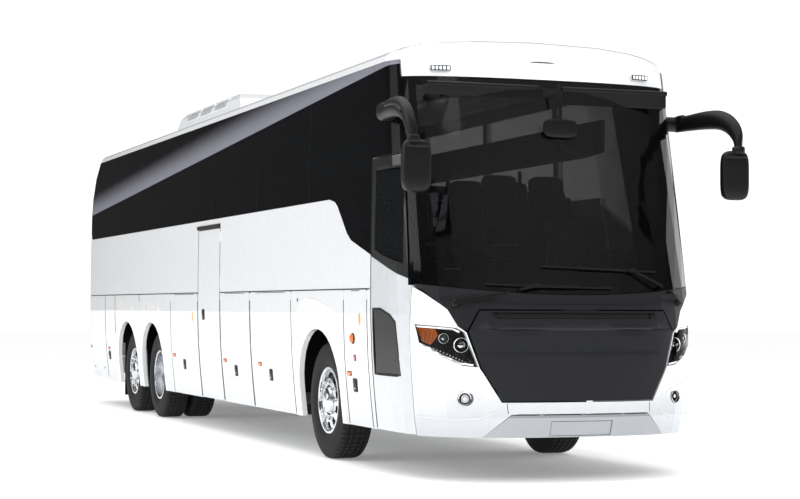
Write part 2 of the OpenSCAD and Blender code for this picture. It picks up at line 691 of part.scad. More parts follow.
module roof() {
    color(white) {
        sheet([for (s = roof_stations) [for (share = roof_shares) roof_point(s, share, 0)]],
              [for (s = roof_stations) [for (share = roof_shares) roof_point(s, share, roof_t)]]);
        // Header over the windscreen
        intersection() {
            skin(nose_stations, [3180, 3200, 3280, glass_top_h + 2], 0, roof_t);
            end_prism(NOSE) span(-screen_edge(3200) + 2, screen_edge(3200) - 2, screen_top + seam,
                glass_top_h + 2);
        }
    }
}

ac_x0 = -2650;
ac_x1 = 250;
ac_top = 3750;
// What the roof's flat stretch fills, up to a hairline over its outside
module under_roof(x0, x1) {
    translate([x0, 0, 0]) rotate([90, 0, 90]) linear_extrude(x1 - x0) polygon(concat(
        [for (share = roof_shares) let (p = roof_point([NOSE, LEFT, 0], share, 0)) [p[1],
            p[2] + hinge_gap]],
        [[2000, glass_top_h], [2000, 3000], [-2000, 3000], [-2000, glass_top_h]]));
}
module air_conditioner() {
    color(white) difference() {
        union() {
            intersection() {
                translate([ac_x0, 0, 0]) rotate([90, 0, 90]) linear_extrude(ac_x1 - ac_x0)
                    polygon([[-960, 3545], [-940, 3640], [-880, 3710], [-760, ac_top - 8], [-600, ac_top],
                             [600, ac_top], [760, ac_top - 8], [880, 3710], [940, 3640], [960, 3545],
                             [960, 3480], [-960, 3480]]);
                translate([0, 1100, 0]) rotate([90, 0, 0]) linear_extrude(2200)
                    polygon([[ac_x0, 3480], [ac_x0, 3560], [ac_x0 + 60, 3650], [ac_x0 + 200, 3725],
                             [ac_x0 + 380, ac_top], [ac_x1 - 700, ac_top], [ac_x1 - 350, 3720],
                             [ac_x1 - 100, 3640], [ac_x1, 3560], [ac_x1, 3480]]);
            }
            // Two roof hatches
            for (x = [1900, -5000]) block([x - 330, -330, 3540], [x + 330, 330, 3600]);
        }
        under_roof(-6000, 3000);
    }
}

// ---- Nose ----

screen_outline = concat(
    [for (i = [-8:8]) let (y = i * screen_edge(1540) / 8) [y, screen_low(y)]],
    [[screen_edge(3200), screen_top], [-screen_edge(3200), screen_top]]);
module windscreen() {
    color(glass) intersection() {
        skin(nose_stations, nose_heights, 0, 12);
        end_prism(NOSE) polygon(screen_outline);
    }
}

// A slab across the whole width, from an outline in x and z
module side_slab(points) {
    translate([0, far, 0]) rotate([90, 0, 0]) linear_extrude(2 * far) polygon(points);
}
// Pillars, header and base that carry the windscreen, behind its edge
module windscreen_frame() {
    color(black) difference() {
        intersection() {
            skin(nose_stations, nose_heights, 12.4, 75);
            end_prism(NOSE) polygon(concat(
                [for (i = [-8:8]) let (y = i * (screen_edge(1540) + seam - 0.6) / 8) [y,
                    screen_low(y) - seam + 0.5]],
                [[screen_edge(3200) + seam - 0.6, screen_top],
                    [-screen_edge(3200) - seam + 0.6, screen_top]]));
            side_slab([[front_panel_x + seam, 1400], [front_panel_x + seam, screen_corner_h + seam],
                       [corner_x(1540) - 90, screen_corner_h + seam], [corner_x(3200) - 90, 3300],
                       [8000, 3300], [8000, 1400]]);
        }
        end_prism(NOSE) polygon(concat(
            [for (i = [-8:8]) let (y = i * (screen_edge(1540) - 95) / 8) [y, screen_low(y) + 50]],
            [[screen_edge(3200) - 95, screen_top - 60], [-screen_edge(3200) + 95, screen_top - 60]]));
    }
}

// Half outline of the hatch, in y and z, from its top edge down
hatch_half = [[797, 1332], [883, 1168], [796, 890], [640, 632]];
hatch_t = 20;
end_rod_r = 3.7;
function both_sides(half) = concat([for (p = half) p],
    [for (i = [len(half) - 1:-1:0]) [-half[i][0], half[i][1]]]);
module front_hatch() {
    color(charcoal) intersection() {
        skin(nose_stations, nose_heights, 0, hatch_t);
        end_prism(NOSE) polygon(both_sides(hatch_half));
    }
    // Hinge rod over the middle of the upper edge
    rod_z = cowl_half[0][1] - hinge_gap - end_rod_r;
    color(charcoal) {
        translate([nose_x(0, rod_z), -150, rod_z]) rotate([-90, 0, 0]) cylinder(h = 300, r = end_rod_r,
            $fn = 24);
        block([nose_x(0, rod_z) - 6, -150, hatch_half[0][1] - 5], [nose_x(0, rod_z) - 1, 150, rod_z]);
    }
}

lamp_half = [[905, 1160], [960, 1195], [1204, 1222], [1180, 1069], [1040, 965], [925, 905], [812, 892]];
// Black panel between the windscreen and the hatch
cowl_half = [[800, 1341], [892, 1176], [952, 1206], [1014, 1337], [1202, 1510]];
module cowl_panel() {
    color(black) intersection() {
        skin(nose_stations, nose_heights, 0, 30);
        ahead_of(front_panel_x + seam);
        end_prism(NOSE) polygon(concat(
            [for (i = [-8:8]) let (y = i * 1202 / 8) [y, screen_low(y) - seam]],
            [for (i = [len(cowl_half) - 2:-1:0]) cowl_half[i]],
                [for (i = [0:len(cowl_half) - 2]) [-cowl_half[i][0], cowl_half[i][1]]]));
    }
}
fog_r = 54;
chin_half = [[575, 530], [600, 512], [790, 340]];
module front_panel() {
    color(white) difference() {
        intersection() {
            skin(nose_stations, nose_heights, 0, 40);
            end_prism(NOSE, nose_start(900) - 300) span(-1400, 1400, 340, 1530);
            ahead_of(front_panel_x);
        }
        // Openings for the hatch, the black cowl, the lamps and the chin
        end_prism(NOSE) polygon([[-650, 622], [650, 622], [806, 884], [897, 1162], [952.6, 1205.5],
            [1014.6, 1336.5], [1202.6, 1509.5], [1400, 1560], [1400, 1600],
            [-1400, 1600], [-1400, 1560], [-1202.6, 1509.5], [-1014.6, 1336.5], [-952.6, 1205.5], [-897, 1162],
                [-806, 884]]);
        for (m = [0, 1]) mirror([0, m, 0]) end_prism(NOSE) polygon(lamp_half);
        end_prism(NOSE) polygon(both_sides([[579, 534], [605, 514], [790.4, 340], [790.4, 200]]));
        for (side = [RIGHT, LEFT]) translate([6400, side * 903, 651]) rotate([0, 90, 0]) cylinder(h = 400,
            r = fog_r + 0.5);
    }
}
// Everything ahead of x, which keeps a nose piece clear of the doors
module ahead_of(x) {
    block([x, -far, 0], [x + far, far, 4000]);
}
module front_bumper() {
    color(silver) difference() {
        intersection() {
            skin(nose_stations, nose_heights, 0, 40);
            end_prism(NOSE) polygon(both_sides(chin_half));
        }
        // Recess for the number plate
        intersection() {
            block([6700, -262, 360], [7000, 262, 480]);
            skin(nose_stations, nose_heights, -20, 12);
        }
    }
}
function lamp_scaled(k) = [for (p = lamp_half) [1000 + (p[0] - 1000) * k, 1050 + (p[1] - 1050) * k]];
module headlamps() {
    color(black) for (m = [0, 1]) mirror([0, m, 0]) {
        intersection() {
            skin(nose_stations, nose_heights, 30, 60);
            end_prism(NOSE) polygon(lamp_scaled(0.98));
            ahead_of(front_panel_x + seam);
        }
        // Case behind the panel's edge
        intersection() {
            skin(nose_stations, nose_heights, 40.8, 95);
            end_prism(NOSE) polygon(lamp_scaled(1.03));
            ahead_of(front_panel_x + seam);
        }
        translate([nose_x(903, 651) - 100, 903, 651]) rotate([0, 90, 0]) cylinder(h = 70, r = fog_r);
    }
}

module wiper(y_pivot, z_pivot, tip_y, tip_z) {
    steps = 6;
    function at(i) = let (y = y_pivot + (tip_y - y_pivot) * i / steps,
        z = z_pivot + (tip_z - z_pivot) * i / steps)
        [nose_x(y, z) + (i == 0 ? 15.7 : 17), y, z];
    for (i = [0:steps - 1]) hull() {
        translate(at(i)) sphere(r = i == 0 ? 13.6 : 9, $fn = 12);
        translate(at(i + 1)) sphere(r = 9, $fn = 12);
    }
}
module wipers() {
    color(black) {
        wiper(-955, 1395, -330, 1515);
        wiper(955, 1395, 330, 1640);
    }
}

module mirror_at(side) {
    mirror([0, side == RIGHT ? 1 : 0, 0]) {
        // Foot on the corner of the body, arm and the head that hangs from it
        translate([5890, 1200, 2915]) rotate([-90, 0, 0]) cylinder(h = 136, r = 62);
        hull() {
            translate([5890, 1325, 2915]) sphere(r = 48, $fn = 20);
            translate([6300, 1385, 2960]) sphere(r = 34, $fn = 20);
        }
        hull() {
            translate([6300, 1385, 2960]) sphere(r = 34, $fn = 20);
            translate([6640, 1405, 2900]) sphere(r = 32, $fn = 20);
        }
        hull() {
            translate([6640, 1405, 2900]) sphere(r = 32, $fn = 20);
            translate([6790, 1415, 2760]) sphere(r = 32, $fn = 20);
        }
        hull() {
            translate([6790, 1415, 2760]) sphere(r = 32, $fn = 20);
            translate([6800, 1400, 2600]) sphere(r = 30, $fn = 20);
        }
        hull() for (y = [1290, 1450], z = [2255, 2590]) {
            translate([6745, y, z]) sphere(r = 45, $fn = 20);
            translate([6800, y, z]) sphere(r = 38, $fn = 20);
        }
    }
}
module mirrors() {
    color(black) for (side = [RIGHT, LEFT]) difference() {
        mirror_at(side);
        skin(side == RIGHT ? right_stations : left_stations, pane_heights, -0.4, 150);
    }
}

// ---- Tail ----

module tail_cut(points) {
    end_prism(TAIL, 4500) polygon(points);
}
engine_span = [-930, 930, 640, 1900];
rear_glass_half = [[860, 2330], [980, 2420], [960, 3060], [880, 3130]];
tail_heights = [400, 700, 1100, 1500, 1900, 2350, 2600, 2870, 3140, glass_top_h];
tail_lamp_half = [[1000, 900], [1130, 900], [1140, 1500], [1010, 1500]];
module rear_panel() {
    color(white) difference() {
        intersection() {
            skin(tail_stations, tail_heights, 0, wall_t);
            tail_cut([[-tail_edge + seam, 300], [tail_edge - seam, 300], [tail_edge - seam, 3400],
                [-tail_edge + seam, 3400]]);
        }
        tail_cut([[engine_span[0], engine_span[2]], [engine_span[1], engine_span[2]],
            [engine_span[1], engine_span[3]], [engine_span[0], engine_span[3]]]);
        tail_cut(both_sides(rear_glass_half));
        for (m = [0, 1]) mirror([0, m, 0]) tail_cut(tail_lamp_half);
    }
}
module rear_window() {
    color(glass) intersection() {
        skin(tail_stations, tail_heights, 4, 4 + pane_t);
        tail_cut([for (p = both_sides(rear_glass_half)) [p[0] * 0.9994, 2730 + (p[1] - 2730) * 0.999]]);
    }
}
module engine_door() {
    color(white) intersection() {
        skin(tail_stations, tail_heights, 0, flap_t);
        tail_cut([[engine_span[0] + 8, engine_span[2] + 8], [engine_span[1] - 8, engine_span[2] + 8],
                  [engine_span[1] - 8, engine_span[3] - 8], [engine_span[0] + 8, engine_span[3] - 8]]);
    }
    rod_z = engine_span[3] - hinge_gap - end_rod_r;
    color(white) {
        translate([-half_len, -150, rod_z]) rotate([-90, 0, 0]) cylinder(h = 300, r = end_rod_r, $fn = 24);
        block([-half_len + 1, -150, engine_span[3] - 12], [-half_len + 6, 150, rod_z]);
    }
}
module tail_lamps() {
    color([0.6, 0.05, 0.05]) for (m = [0, 1]) mirror([0, m, 0]) intersection() {
        skin(tail_stations, tail_heights, 3, 50);
        tail_cut([for (p = tail_lamp_half) [1070 + (p[0] - 1070) * 0.99, 1200 + (p[1] - 1200) * 0.998]]);
    }
}

// ---- Doors and flaps ----

flap_rod_r = 3;
flap_top = luggage_h - 9;
// Knuckle of a door's hinge, standing in the seam at the door's front edge
module knuckle_rod(x, y, z0, z1, r) {
    translate([x, y, z0]) cylinder(h = z1 - z0, r = r, $fn = 24);
    block([x - 2 * r, y, z0], [x, y + r * 0.8, z1]);
}
front_hinge_x = front_door_x1;
front_hinge_y = -1220;
mid_rod_r = 4.7;
mid_hinge_x = mid_door_x1 + 4 - hinge_gap - mid_rod_r;

module leaf(side, thickness, points) {
    intersection() {
        skin(side == RIGHT ? right_stations : left_stations, wall_heights, 0, thickness);
        side_prism(side) polygon(points);
    }
}
module front_door() {
    x0 = front_door_x0 + door_seam / 2;
    x1 = front_door_x1 - door_seam / 2;
    color(white) difference() {
        leaf(RIGHT, door_t, [[x0, skirt_h + 7], [x1, skirt_h + 7], [x1, front_door_top - door_seam / 2],
            [x0, front_door_top - door_seam / 2]]);
        end_prism(NOSE) polygon(nose_zone(door_seam));
        // Openings for the upper and the lower window
        side_prism(RIGHT) polygon([[x0 + 95, 1815], [x0 + 95, 2480], [x1 - door_lean + 25, 2480],
            [x1 - 100, 1690], [x0 + 300, 1760]]);
        side_prism(RIGHT) polygon([[x0 + 60, 810], [x0 + 60, 1340], [x0 + 240, 1340], [x0 + 470, 1290],
            [x0 + 570, 1235], [x0 + 650, 810]]);
    }
    color(white) for (z = [960, 1390]) knuckle_rod(front_hinge_x, front_hinge_y, z, z + 110,
        door_seam / 2 - hinge_gap);
}
module middle_door() {
    x0 = mid_door_x0 + door_seam / 2;
    x1 = mid_door_x1 - door_seam / 2;
    color(white) {
        leaf(RIGHT, door_t, [[x0, skirt_h + 7], [x1, skirt_h + 7], [x1, mid_door_top - 6],
            [x0, mid_door_top - 6]]);
        for (z = [1560, 2040]) knuckle_rod(mid_hinge_x, -half_w + 1, z, z + 110, mid_rod_r);
    }
}
module flap(side, span_x) {
    color(white) leaf(side, flap_t, [[span_x[0] + door_seam / 2, skirt_h + 2],
        [span_x[1] - door_seam / 2, skirt_h + 2],
        [span_x[1] - door_seam / 2, flap_top], [span_x[0] + door_seam / 2, flap_top]]);
    // Hinge rod along the upper edge, and its web
    x0 = span_x[0] + 40;
    length = span_x[1] - span_x[0] - 80;
    rod_z = luggage_h - hinge_gap - flap_rod_r;
    color(grey) {
        translate([x0, side * half_w, rod_z]) rotate([0, 90, 0]) cylinder(h = length, r = flap_rod_r,
            $fn = 24);
        block([x0, side == RIGHT ? -half_w : half_w - 3, flap_top - 4],
            [x0 + length, side == RIGHT ? 3 - half_w : half_w, rod_z]);
    }
}

front_frame();
hold_frame();
rear_frame();
floor();
entry_steps();
luggage_holds();
wheel_housings();
roof();
air_conditioner();
right_wall();
left_wall();
right_windows();
left_windows();
wheel_arch_trims();
windscreen();
windscreen_frame();
front_panel();
front_bumper();
cowl_panel();
rear_panel();
rear_window();
headlamps();
tail_lamps();
mirrors();
wipers();
axles();
engine();
seats();
dashboard();
luggage_racks();
front_door();
middle_door();
flap(RIGHT, flap_spans[0]);  // right_flap_1
flap(RIGHT, flap_spans[1]);  // right_flap_2
flap(RIGHT, flap_spans[2]);  // right_flap_3
flap(RIGHT, service_span);  // service_flap
flap(LEFT, flap_spans[0]);  // left_flap_1
flap(LEFT, flap_spans[1]);  // left_flap_2
flap(LEFT, flap_spans[2]);  // left_flap_3
front_hatch();
engine_door();
knuckle(RIGHT);  // right_knuckle
knuckle(LEFT);  // left_knuckle
steering_wheel();
color(rubber) tyre_at(front_axle_x, -track_y);  // front_right_tyre
color(silver) rim_place(front_axle_x, RIGHT,  // front_right_rim
    track_y) convex_rim();
color(rubber) tyre_at(front_axle_x, track_y);  // front_left_tyre
color(silver) rim_place(front_axle_x, LEFT,  // front_left_rim
    track_y) convex_rim();
twin_tyres(RIGHT);  // drive_right_tyres
twin_rims(RIGHT);  // drive_right_rims
twin_tyres(LEFT);  // drive_left_tyres
twin_rims(LEFT);  // drive_left_rims
color(rubber) tyre_at(tag_axle_x, -track_y);  // tag_right_tyre
color(silver) rim_place(tag_axle_x, RIGHT,  // tag_right_rim
    track_y) convex_rim();
color(rubber) tyre_at(tag_axle_x, track_y);  // tag_left_tyre
color(silver) rim_place(tag_axle_x, LEFT,  // tag_left_rim
    track_y) convex_rim();
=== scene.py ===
"""Finishes and fine pieces of a three-axle touring coach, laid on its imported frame."""
import json
import math

import bmesh
import bpy
from bpy.props import FloatProperty, FloatVectorProperty, IntProperty, PointerProperty
from mathutils import Matrix, Vector
from mathutils.bvhtree import BVHTree


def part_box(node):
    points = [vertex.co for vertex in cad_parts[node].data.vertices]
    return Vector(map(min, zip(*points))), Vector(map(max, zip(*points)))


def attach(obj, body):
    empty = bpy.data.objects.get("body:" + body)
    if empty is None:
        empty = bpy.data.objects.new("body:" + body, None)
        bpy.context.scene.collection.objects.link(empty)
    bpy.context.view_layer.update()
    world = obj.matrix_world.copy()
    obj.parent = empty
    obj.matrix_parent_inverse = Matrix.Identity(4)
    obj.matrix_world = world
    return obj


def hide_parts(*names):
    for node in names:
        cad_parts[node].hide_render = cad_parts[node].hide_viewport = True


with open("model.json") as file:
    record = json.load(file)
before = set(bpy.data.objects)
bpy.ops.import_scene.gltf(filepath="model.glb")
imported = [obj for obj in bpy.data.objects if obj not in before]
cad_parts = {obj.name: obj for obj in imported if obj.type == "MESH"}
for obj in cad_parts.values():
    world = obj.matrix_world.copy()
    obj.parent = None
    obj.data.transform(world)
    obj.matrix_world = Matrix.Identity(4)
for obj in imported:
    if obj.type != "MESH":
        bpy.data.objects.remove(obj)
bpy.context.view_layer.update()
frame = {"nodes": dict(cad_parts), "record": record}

bl_info = {
    "name": "Touring Coach",
    "version": (1, 0, 0),
    "blender": (4, 5, 0),
    "location": "View3D > Sidebar > Coach",
    "description": "Finishes and fine pieces of a touring coach",
    "category": "Object",
}

RIGHT, LEFT = -1, 1
FAR = 12.0
UP = Vector((0, 0, 1))


def linear(code):
    """The linear RGBA colour of an sRGB hex code."""
    parts = [int(code[i:i + 2], 16) / 255 for i in (0, 2, 4)]
    curve = [c / 12.92 if c <= 0.04045 else ((c + 0.055) / 1.055) ** 2.4 for c in parts]
    return (*curve, 1.0)


def side_name(side):
    return "right" if side == RIGHT else "left"


# ---- Materials ----

def add(tree, kind, values=None, links=None, **attributes):
    """Adds a node with its attributes, the values of its sockets and the links into it."""
    node = tree.nodes.new(kind)
    for key, value in attributes.items():
        setattr(node, key, value)
    for key, value in (values or {}).items():
        node.inputs[key].default_value = value
    for key, source in (links or {}).items():
        tree.links.new(source, node.inputs[key])
    return node


def finish(name, colours, grain, relief, rough, sockets=None):
    """A material whose colour, roughness and surface all vary with one grain, in metres."""
    if name in bpy.data.materials:
        return bpy.data.materials[name]
    material = bpy.data.materials.new(name)
    material.use_nodes = True
    tree = material.node_tree
    shader = tree.nodes["Principled BSDF"]
    for key, value in (sockets or {}).items():
        shader.inputs[key].default_value = value
    place = add(tree, "ShaderNodeTexCoord")
    noise = add(tree, "ShaderNodeTexNoise", {"Scale": 1 / grain, "Detail": 3.0},
                {"Vector": place.outputs["Object"]})
    tone = add(tree, "ShaderNodeMix", {6: linear(colours[0]), 7: linear(colours[1])},
               {0: noise.outputs["Fac"]}, data_type="RGBA")
    gloss = add(tree, "ShaderNodeMapRange", {"To Min": rough[0], "To Max": rough[1]},
                {"Value": noise.outputs["Fac"]})
    bump = add(tree, "ShaderNodeBump", {"Distance": relief}, {"Height": noise.outputs["Fac"]})
    tree.links.new(tone.outputs[2], shader.inputs["Base Color"])
    tree.links.new(gloss.outputs["Result"], shader.inputs["Roughness"])
    tree.links.new(bump.outputs["Normal"], shader.inputs["Normal"])
    tone.name = "Tone"
    return material


def tint_by_place(material, code, axis_weights, start, stop):
    """Blends another colour in as a weighted sum of the place goes from start to stop."""
    tree = material.node_tree
    shader = tree.nodes["Principled BSDF"]
    before = shader.inputs["Base Color"].links[0].from_socket
    place = add(tree, "ShaderNodeTexCoord")
    along = add(tree, "ShaderNodeVectorMath", {1: axis_weights},
                {0: place.outputs["Object"]}, operation="DOT_PRODUCT")
    share = add(tree, "ShaderNodeMapRange", {"From Min": start, "From Max": stop},
                {"Value": along.outputs["Value"]}, interpolation_type="SMOOTHSTEP")
    blend = add(tree, "ShaderNodeMix", {7: linear(code)},
                {0: share.outputs["Result"], 6: before}, data_type="RGBA")
    tree.links.new(blend.outputs[2], shader.inputs["Base Color"])
    return material


def coach_colours():
    return bpy.context.scene.coach_colours


def to_code(colour):
    """The sRGB hex code of a colour property."""
    parts = [c * 12.92 if c <= 0.0031308 else 1.055 * c ** (1 / 2.4) - 0.055 for c in colour[:3]]
    return "".join(f"{round(255 * min(1, c)):02X}" for c in parts)


def body_lacquer():
    # Acrylic lacquer sprayed under a clear coat: deep gloss over a very slightly wavy white.
    # The waves are drawn about ten times coarser than real orange peel, to show at all.
    code = to_code(coach_colours().body)
    material = finish("sprayed_acrylic_lacquer_white", (code, "E6E8EA"), 0.09, 0.0006, (0.28, 0.36),
                      {"Coat Weight": 0.8, "Coat Roughness": 0.04})
    if "Low" not in material:
        material["Low"] = True
        # Painted shade low on the body: the white greys smoothly downwards from 0.95 m, fully below 0.2 m
        tint_by_place(material, "B9BDC2", (0, 0, -1), -0.95, -0.2)
    return material


def arch_lacquer():
    # The same lacquer on the moulded arch flares, whiter, and without the painted shade that greys the body
    # low down
    return finish("sprayed_acrylic_lacquer_flares", ("FFFFFF", "F4F5F7"), 0.09, 0.0006, (0.25, 0.32),
                  {"Coat Weight": 0.9, "Coat Roughness": 0.03})


def silver_lacquer():
    # Sprayed metallic lacquer: flakes drawn at 4 mm give a soft grey sparkle under the clear coat
    return finish("sprayed_metallic_lacquer_silver", ("9DA0A5", "AEB2B6"), 0.004, 0.0001, (0.3, 0.42),
                  {"Metallic": 0.35, "Coat Weight": 0.6, "Coat Roughness": 0.06})


def side_glass():
    # Toughened glass, bonded and printed black from behind: flat and deep, with a painted grey
    # sheen, a reflection laid into its colour as a long diagonal stripe that fades upwards
    material = finish("toughened_glass_bonded_black", ("08090A", "0D0E10"), 0.4, 0.0004, (0.05, 0.1),
                      {"IOR": 1.2})
    if "Stripe" not in material:
        material["Stripe"] = True
        painted_sheen_on(material)
        # The driver's side lets some light through, the door side is printed almost solid
        tree = material.node_tree
        place = add(tree, "ShaderNodeTexCoord")
        parts = add(tree, "ShaderNodeSeparateXYZ", links={0: place.outputs["Object"]})
        cover = add(tree, "ShaderNodeMapRange", {"From Min": 0.3, "From Max": 0.9, "To Min": 0.97,
                    "To Max": 0.55}, {"Value": parts.outputs["Y"]})
        tree.links.new(cover.outputs["Result"], tree.nodes["Principled BSDF"].inputs["Alpha"])
    return material


def painted_sheen_on(material):
    """The painted sheen, a pale stripe that stands for a reflection: sharp on its lower edge, faded out 0.32
    m above it.
    """
    tree = material.node_tree
    shader = tree.nodes["Principled BSDF"]
    before = shader.inputs["Base Color"].links[0].from_socket
    place = add(tree, "ShaderNodeTexCoord")
    parts = add(tree, "ShaderNodeSeparateXYZ", links={0: place.outputs["Object"]})
    # Height of the stripe's lower edge along the coach, rising less towards the front
    edge = add(tree, "ShaderNodeMapRange", {"From Min": -6.69, "From Max": 1.65, "To Min": 2.631,
               "To Max": 3.085}, {"Value": parts.outputs["X"]}, clamp=False)
    above = add(tree, "ShaderNodeMath", links={0: parts.outputs["Z"], 1: edge.outputs["Result"]},
                operation="SUBTRACT")
    fade = add(tree, "ShaderNodeMapRange", {"From Min": 0.32, "From Max": 0.0},
               {"Value": above.outputs["Value"]}, interpolation_type="SMOOTHSTEP")
    sharp = add(tree, "ShaderNodeMath", {1: 0.0}, {0: above.outputs["Value"]}, operation="GREATER_THAN")
    share = add(tree, "ShaderNodeMath", links={0: fade.outputs["Result"], 1: sharp.outputs["Value"]},
                operation="MULTIPLY")
    pale = add(tree, "ShaderNodeMix", {7: linear("80808A")}, {0: share.outputs["Value"], 6: before},
               data_type="RGBA")
    tree.links.new(pale.outputs[2], shader.inputs["Base Color"])


def clear_face_on(material, least, gain):
    """Lets a glass show what is behind it, less so where it is seen aslant."""
    if "Clear" in material:
        return material
    material["Clear"] = True
    tree = material.node_tree
    edge = add(tree, "ShaderNodeFresnel", {"IOR": 1.45})
    share = add(tree, "ShaderNodeMath", {1: gain, 2: least}, {0: edge.outputs["Fac"]},
                operation="MULTIPLY_ADD", use_clamp=True)
    tree.links.new(share.outputs["Value"], tree.nodes["Principled BSDF"].inputs["Alpha"])
    return material


def screen_glass():
    # Laminated glass with a grey tint: clear to look through, mirror smooth outside
    material = finish("laminated_glass_grey_tint", ("060708", "0A0B0D"), 0.5, 0.0003, (0.02, 0.05),
                      {"IOR": 1.45})
    return clear_face_on(material, 0.42, 3.0)


def door_glass():
    # Toughened glass with a light grey tint in the door's two windows
    return finish("toughened_glass_door", ("111315", "181B1D"), 0.3, 0.0003, (0.03, 0.06),
                  {"Alpha": 0.85, "IOR": 1.3})


def hatch_plastic():
    # Moulded ABS, fine leather grain: satin charcoal that breaks highlights up softly
    return finish("moulded_abs_charcoal", ("16171A", "1D1E21"), 0.006, 0.0002, (0.42, 0.52),
                  {"Specular IOR Level": 0.35})


def black_plastic():
    # Moulded ABS, spark eroded: near black and slightly open
    return finish("moulded_abs_black", ("080809", "0F0F10"), 0.008, 0.0003, (0.38, 0.5),
                  {"Specular IOR Level": 0.3})


def trim_rubber():
    # Extruded EPDM rubber: dull black seal
    return finish("extruded_epdm_rubber", ("070707", "101010"), 0.01, 0.0002, (0.7, 0.85))


def tyre_rubber():
    # Moulded tyre rubber: matt carbon black, greyer where it has weathered
    return finish("moulded_tyre_rubber", ("0B0B0B", "1C1C1D"), 0.03, 0.0006, (0.72, 0.9))


def polished_rim():
    # Forged aluminium, lathe turned and polished: bright with faint turning swirls
    return finish("turned_polished_aluminium", ("C9CCD0", "E6E8EB"), 0.02, 0.0003, (0.14, 0.26),
                  {"Metallic": 1.0})


def chrome():
    # Chromium plated steel: hard mirror
    return finish("plated_chromium", ("DADDE0", "EEF0F2"), 0.05, 0.0001, (0.05, 0.1), {"Metallic": 1.0})


def dark_recess():
    # Moulded polypropylene left bare: the dark ground behind lamps and holes
    return finish("moulded_polypropylene_black", ("050506", "0A0A0B"), 0.01, 0.0002, (0.5, 0.6))


def clear_lens():
    # Injection moulded polycarbonate: clear cover with a hard gloss
    material = finish("moulded_polycarbonate_clear", ("08090A", "101112"), 0.2, 0.0002, (0.02, 0.04),
                      {"IOR": 1.45})
    return clear_face_on(material, 0.03, 1.6)


def amber_lens():
    # Injection moulded acrylic, dyed through: fluted amber
    return finish("moulded_acrylic_amber", ("E05A0A", "F08A1E"), 0.012, 0.002, (0.12, 0.2),
                  {"Coat Weight": 0.5, "Coat Roughness": 0.05})


def red_lens():
    # Injection moulded acrylic, dyed through: fluted red
    return finish("moulded_acrylic_red", ("7A0608", "B0100F"), 0.012, 0.002, (0.12, 0.2),
                  {"Coat Weight": 0.5, "Coat Roughness": 0.05})


def white_lens():
    # Frosted acrylic light guide: milky white strip
    return finish("frosted_acrylic_white", ("E8ECF0", "FFFFFF"), 0.01, 0.0004, (0.2, 0.3),
                  {"Emission Color": linear("FFFFFF"), "Emission Strength": 0.25})


def chassis_paint():
    # Electrocoated steel with stone-chip coat: dull dark grey and pebbly
    return finish("electrocoated_steel_dark", ("1A1B1D", "26282A"), 0.02, 0.001, (0.6, 0.75))


def hold_sheet():
    # Galvanised sheet steel, spangled: grey patches the size of a hand, drawn with soft edges
    return finish("galvanised_sheet_steel", ("6F7377", "878B8F"), 0.06, 0.0002, (0.4, 0.55),
                  {"Metallic": 0.7})


def floor_vinyl():
    # Calendered vinyl floor covering with fleck
    return finish("calendered_vinyl_grey", ("2B2D31", "43464B"), 0.008, 0.0002, (0.5, 0.65))


def lining_fabric():
    # Needle-felted lining cloth: soft light grey, no gloss
    return finish("needle_felt_lining", ("5C5E62", "6C6E73"), 0.01, 0.0008, (0.85, 0.95))


def seat_cloth():
    # Woven moquette: cut pile in dark blue grey, with a small chequer drawn at 14 mm
    material = finish("woven_moquette_grey", ("1B1E24", "2A2E36"), 0.006, 0.0012, (0.8, 0.95),
                      {"Sheen Weight": 0.4})
    if "Weave" not in material:
        material["Weave"] = True
        tree = material.node_tree
        shader = tree.nodes["Principled BSDF"]
        before = shader.inputs["Base Color"].links[0].from_socket
        place = add(tree, "ShaderNodeTexCoord")
        squares = add(tree, "ShaderNodeTexChecker", {"Color1": linear("FFFFFF"),
                      "Color2": linear("D4D7DC"), "Scale": 1 / 0.014}, {"Vector": place.outputs["Object"]})
        woven = add(tree, "ShaderNodeMix", {0: 1.0}, {6: before, 7: squares.outputs["Color"]},
                    data_type="RGBA", blend_type="MULTIPLY")
        tree.links.new(woven.outputs[2], shader.inputs["Base Color"])
    return material


def engine_casting():
    # Sand-cast iron with oil film: dark and rough
    return finish("sand_cast_iron", ("2C2C2A", "3C3A36"), 0.012, 0.001, (0.5, 0.7), {"Metallic": 0.6})


def mirror_silver():
    # Silvered float glass
    return finish("silvered_float_glass", ("C8CCD0", "D8DCE0"), 0.3, 0.0001, (0.02, 0.04),
                  {"Metallic": 1.0})


def plate_enamel():
    # Reflective sheeting on an embossed aluminium plate, blank
    return finish("reflective_sheet_blank", ("D6D8DA", "E4E6E8"), 0.004, 0.0002, (0.35, 0.5))


def yellow_film():
    # Cast vinyl film: flat safety yellow
    return finish("cast_vinyl_yellow", ("E8A400", "F4B61C"), 0.02, 0.0001, (0.35, 0.45))


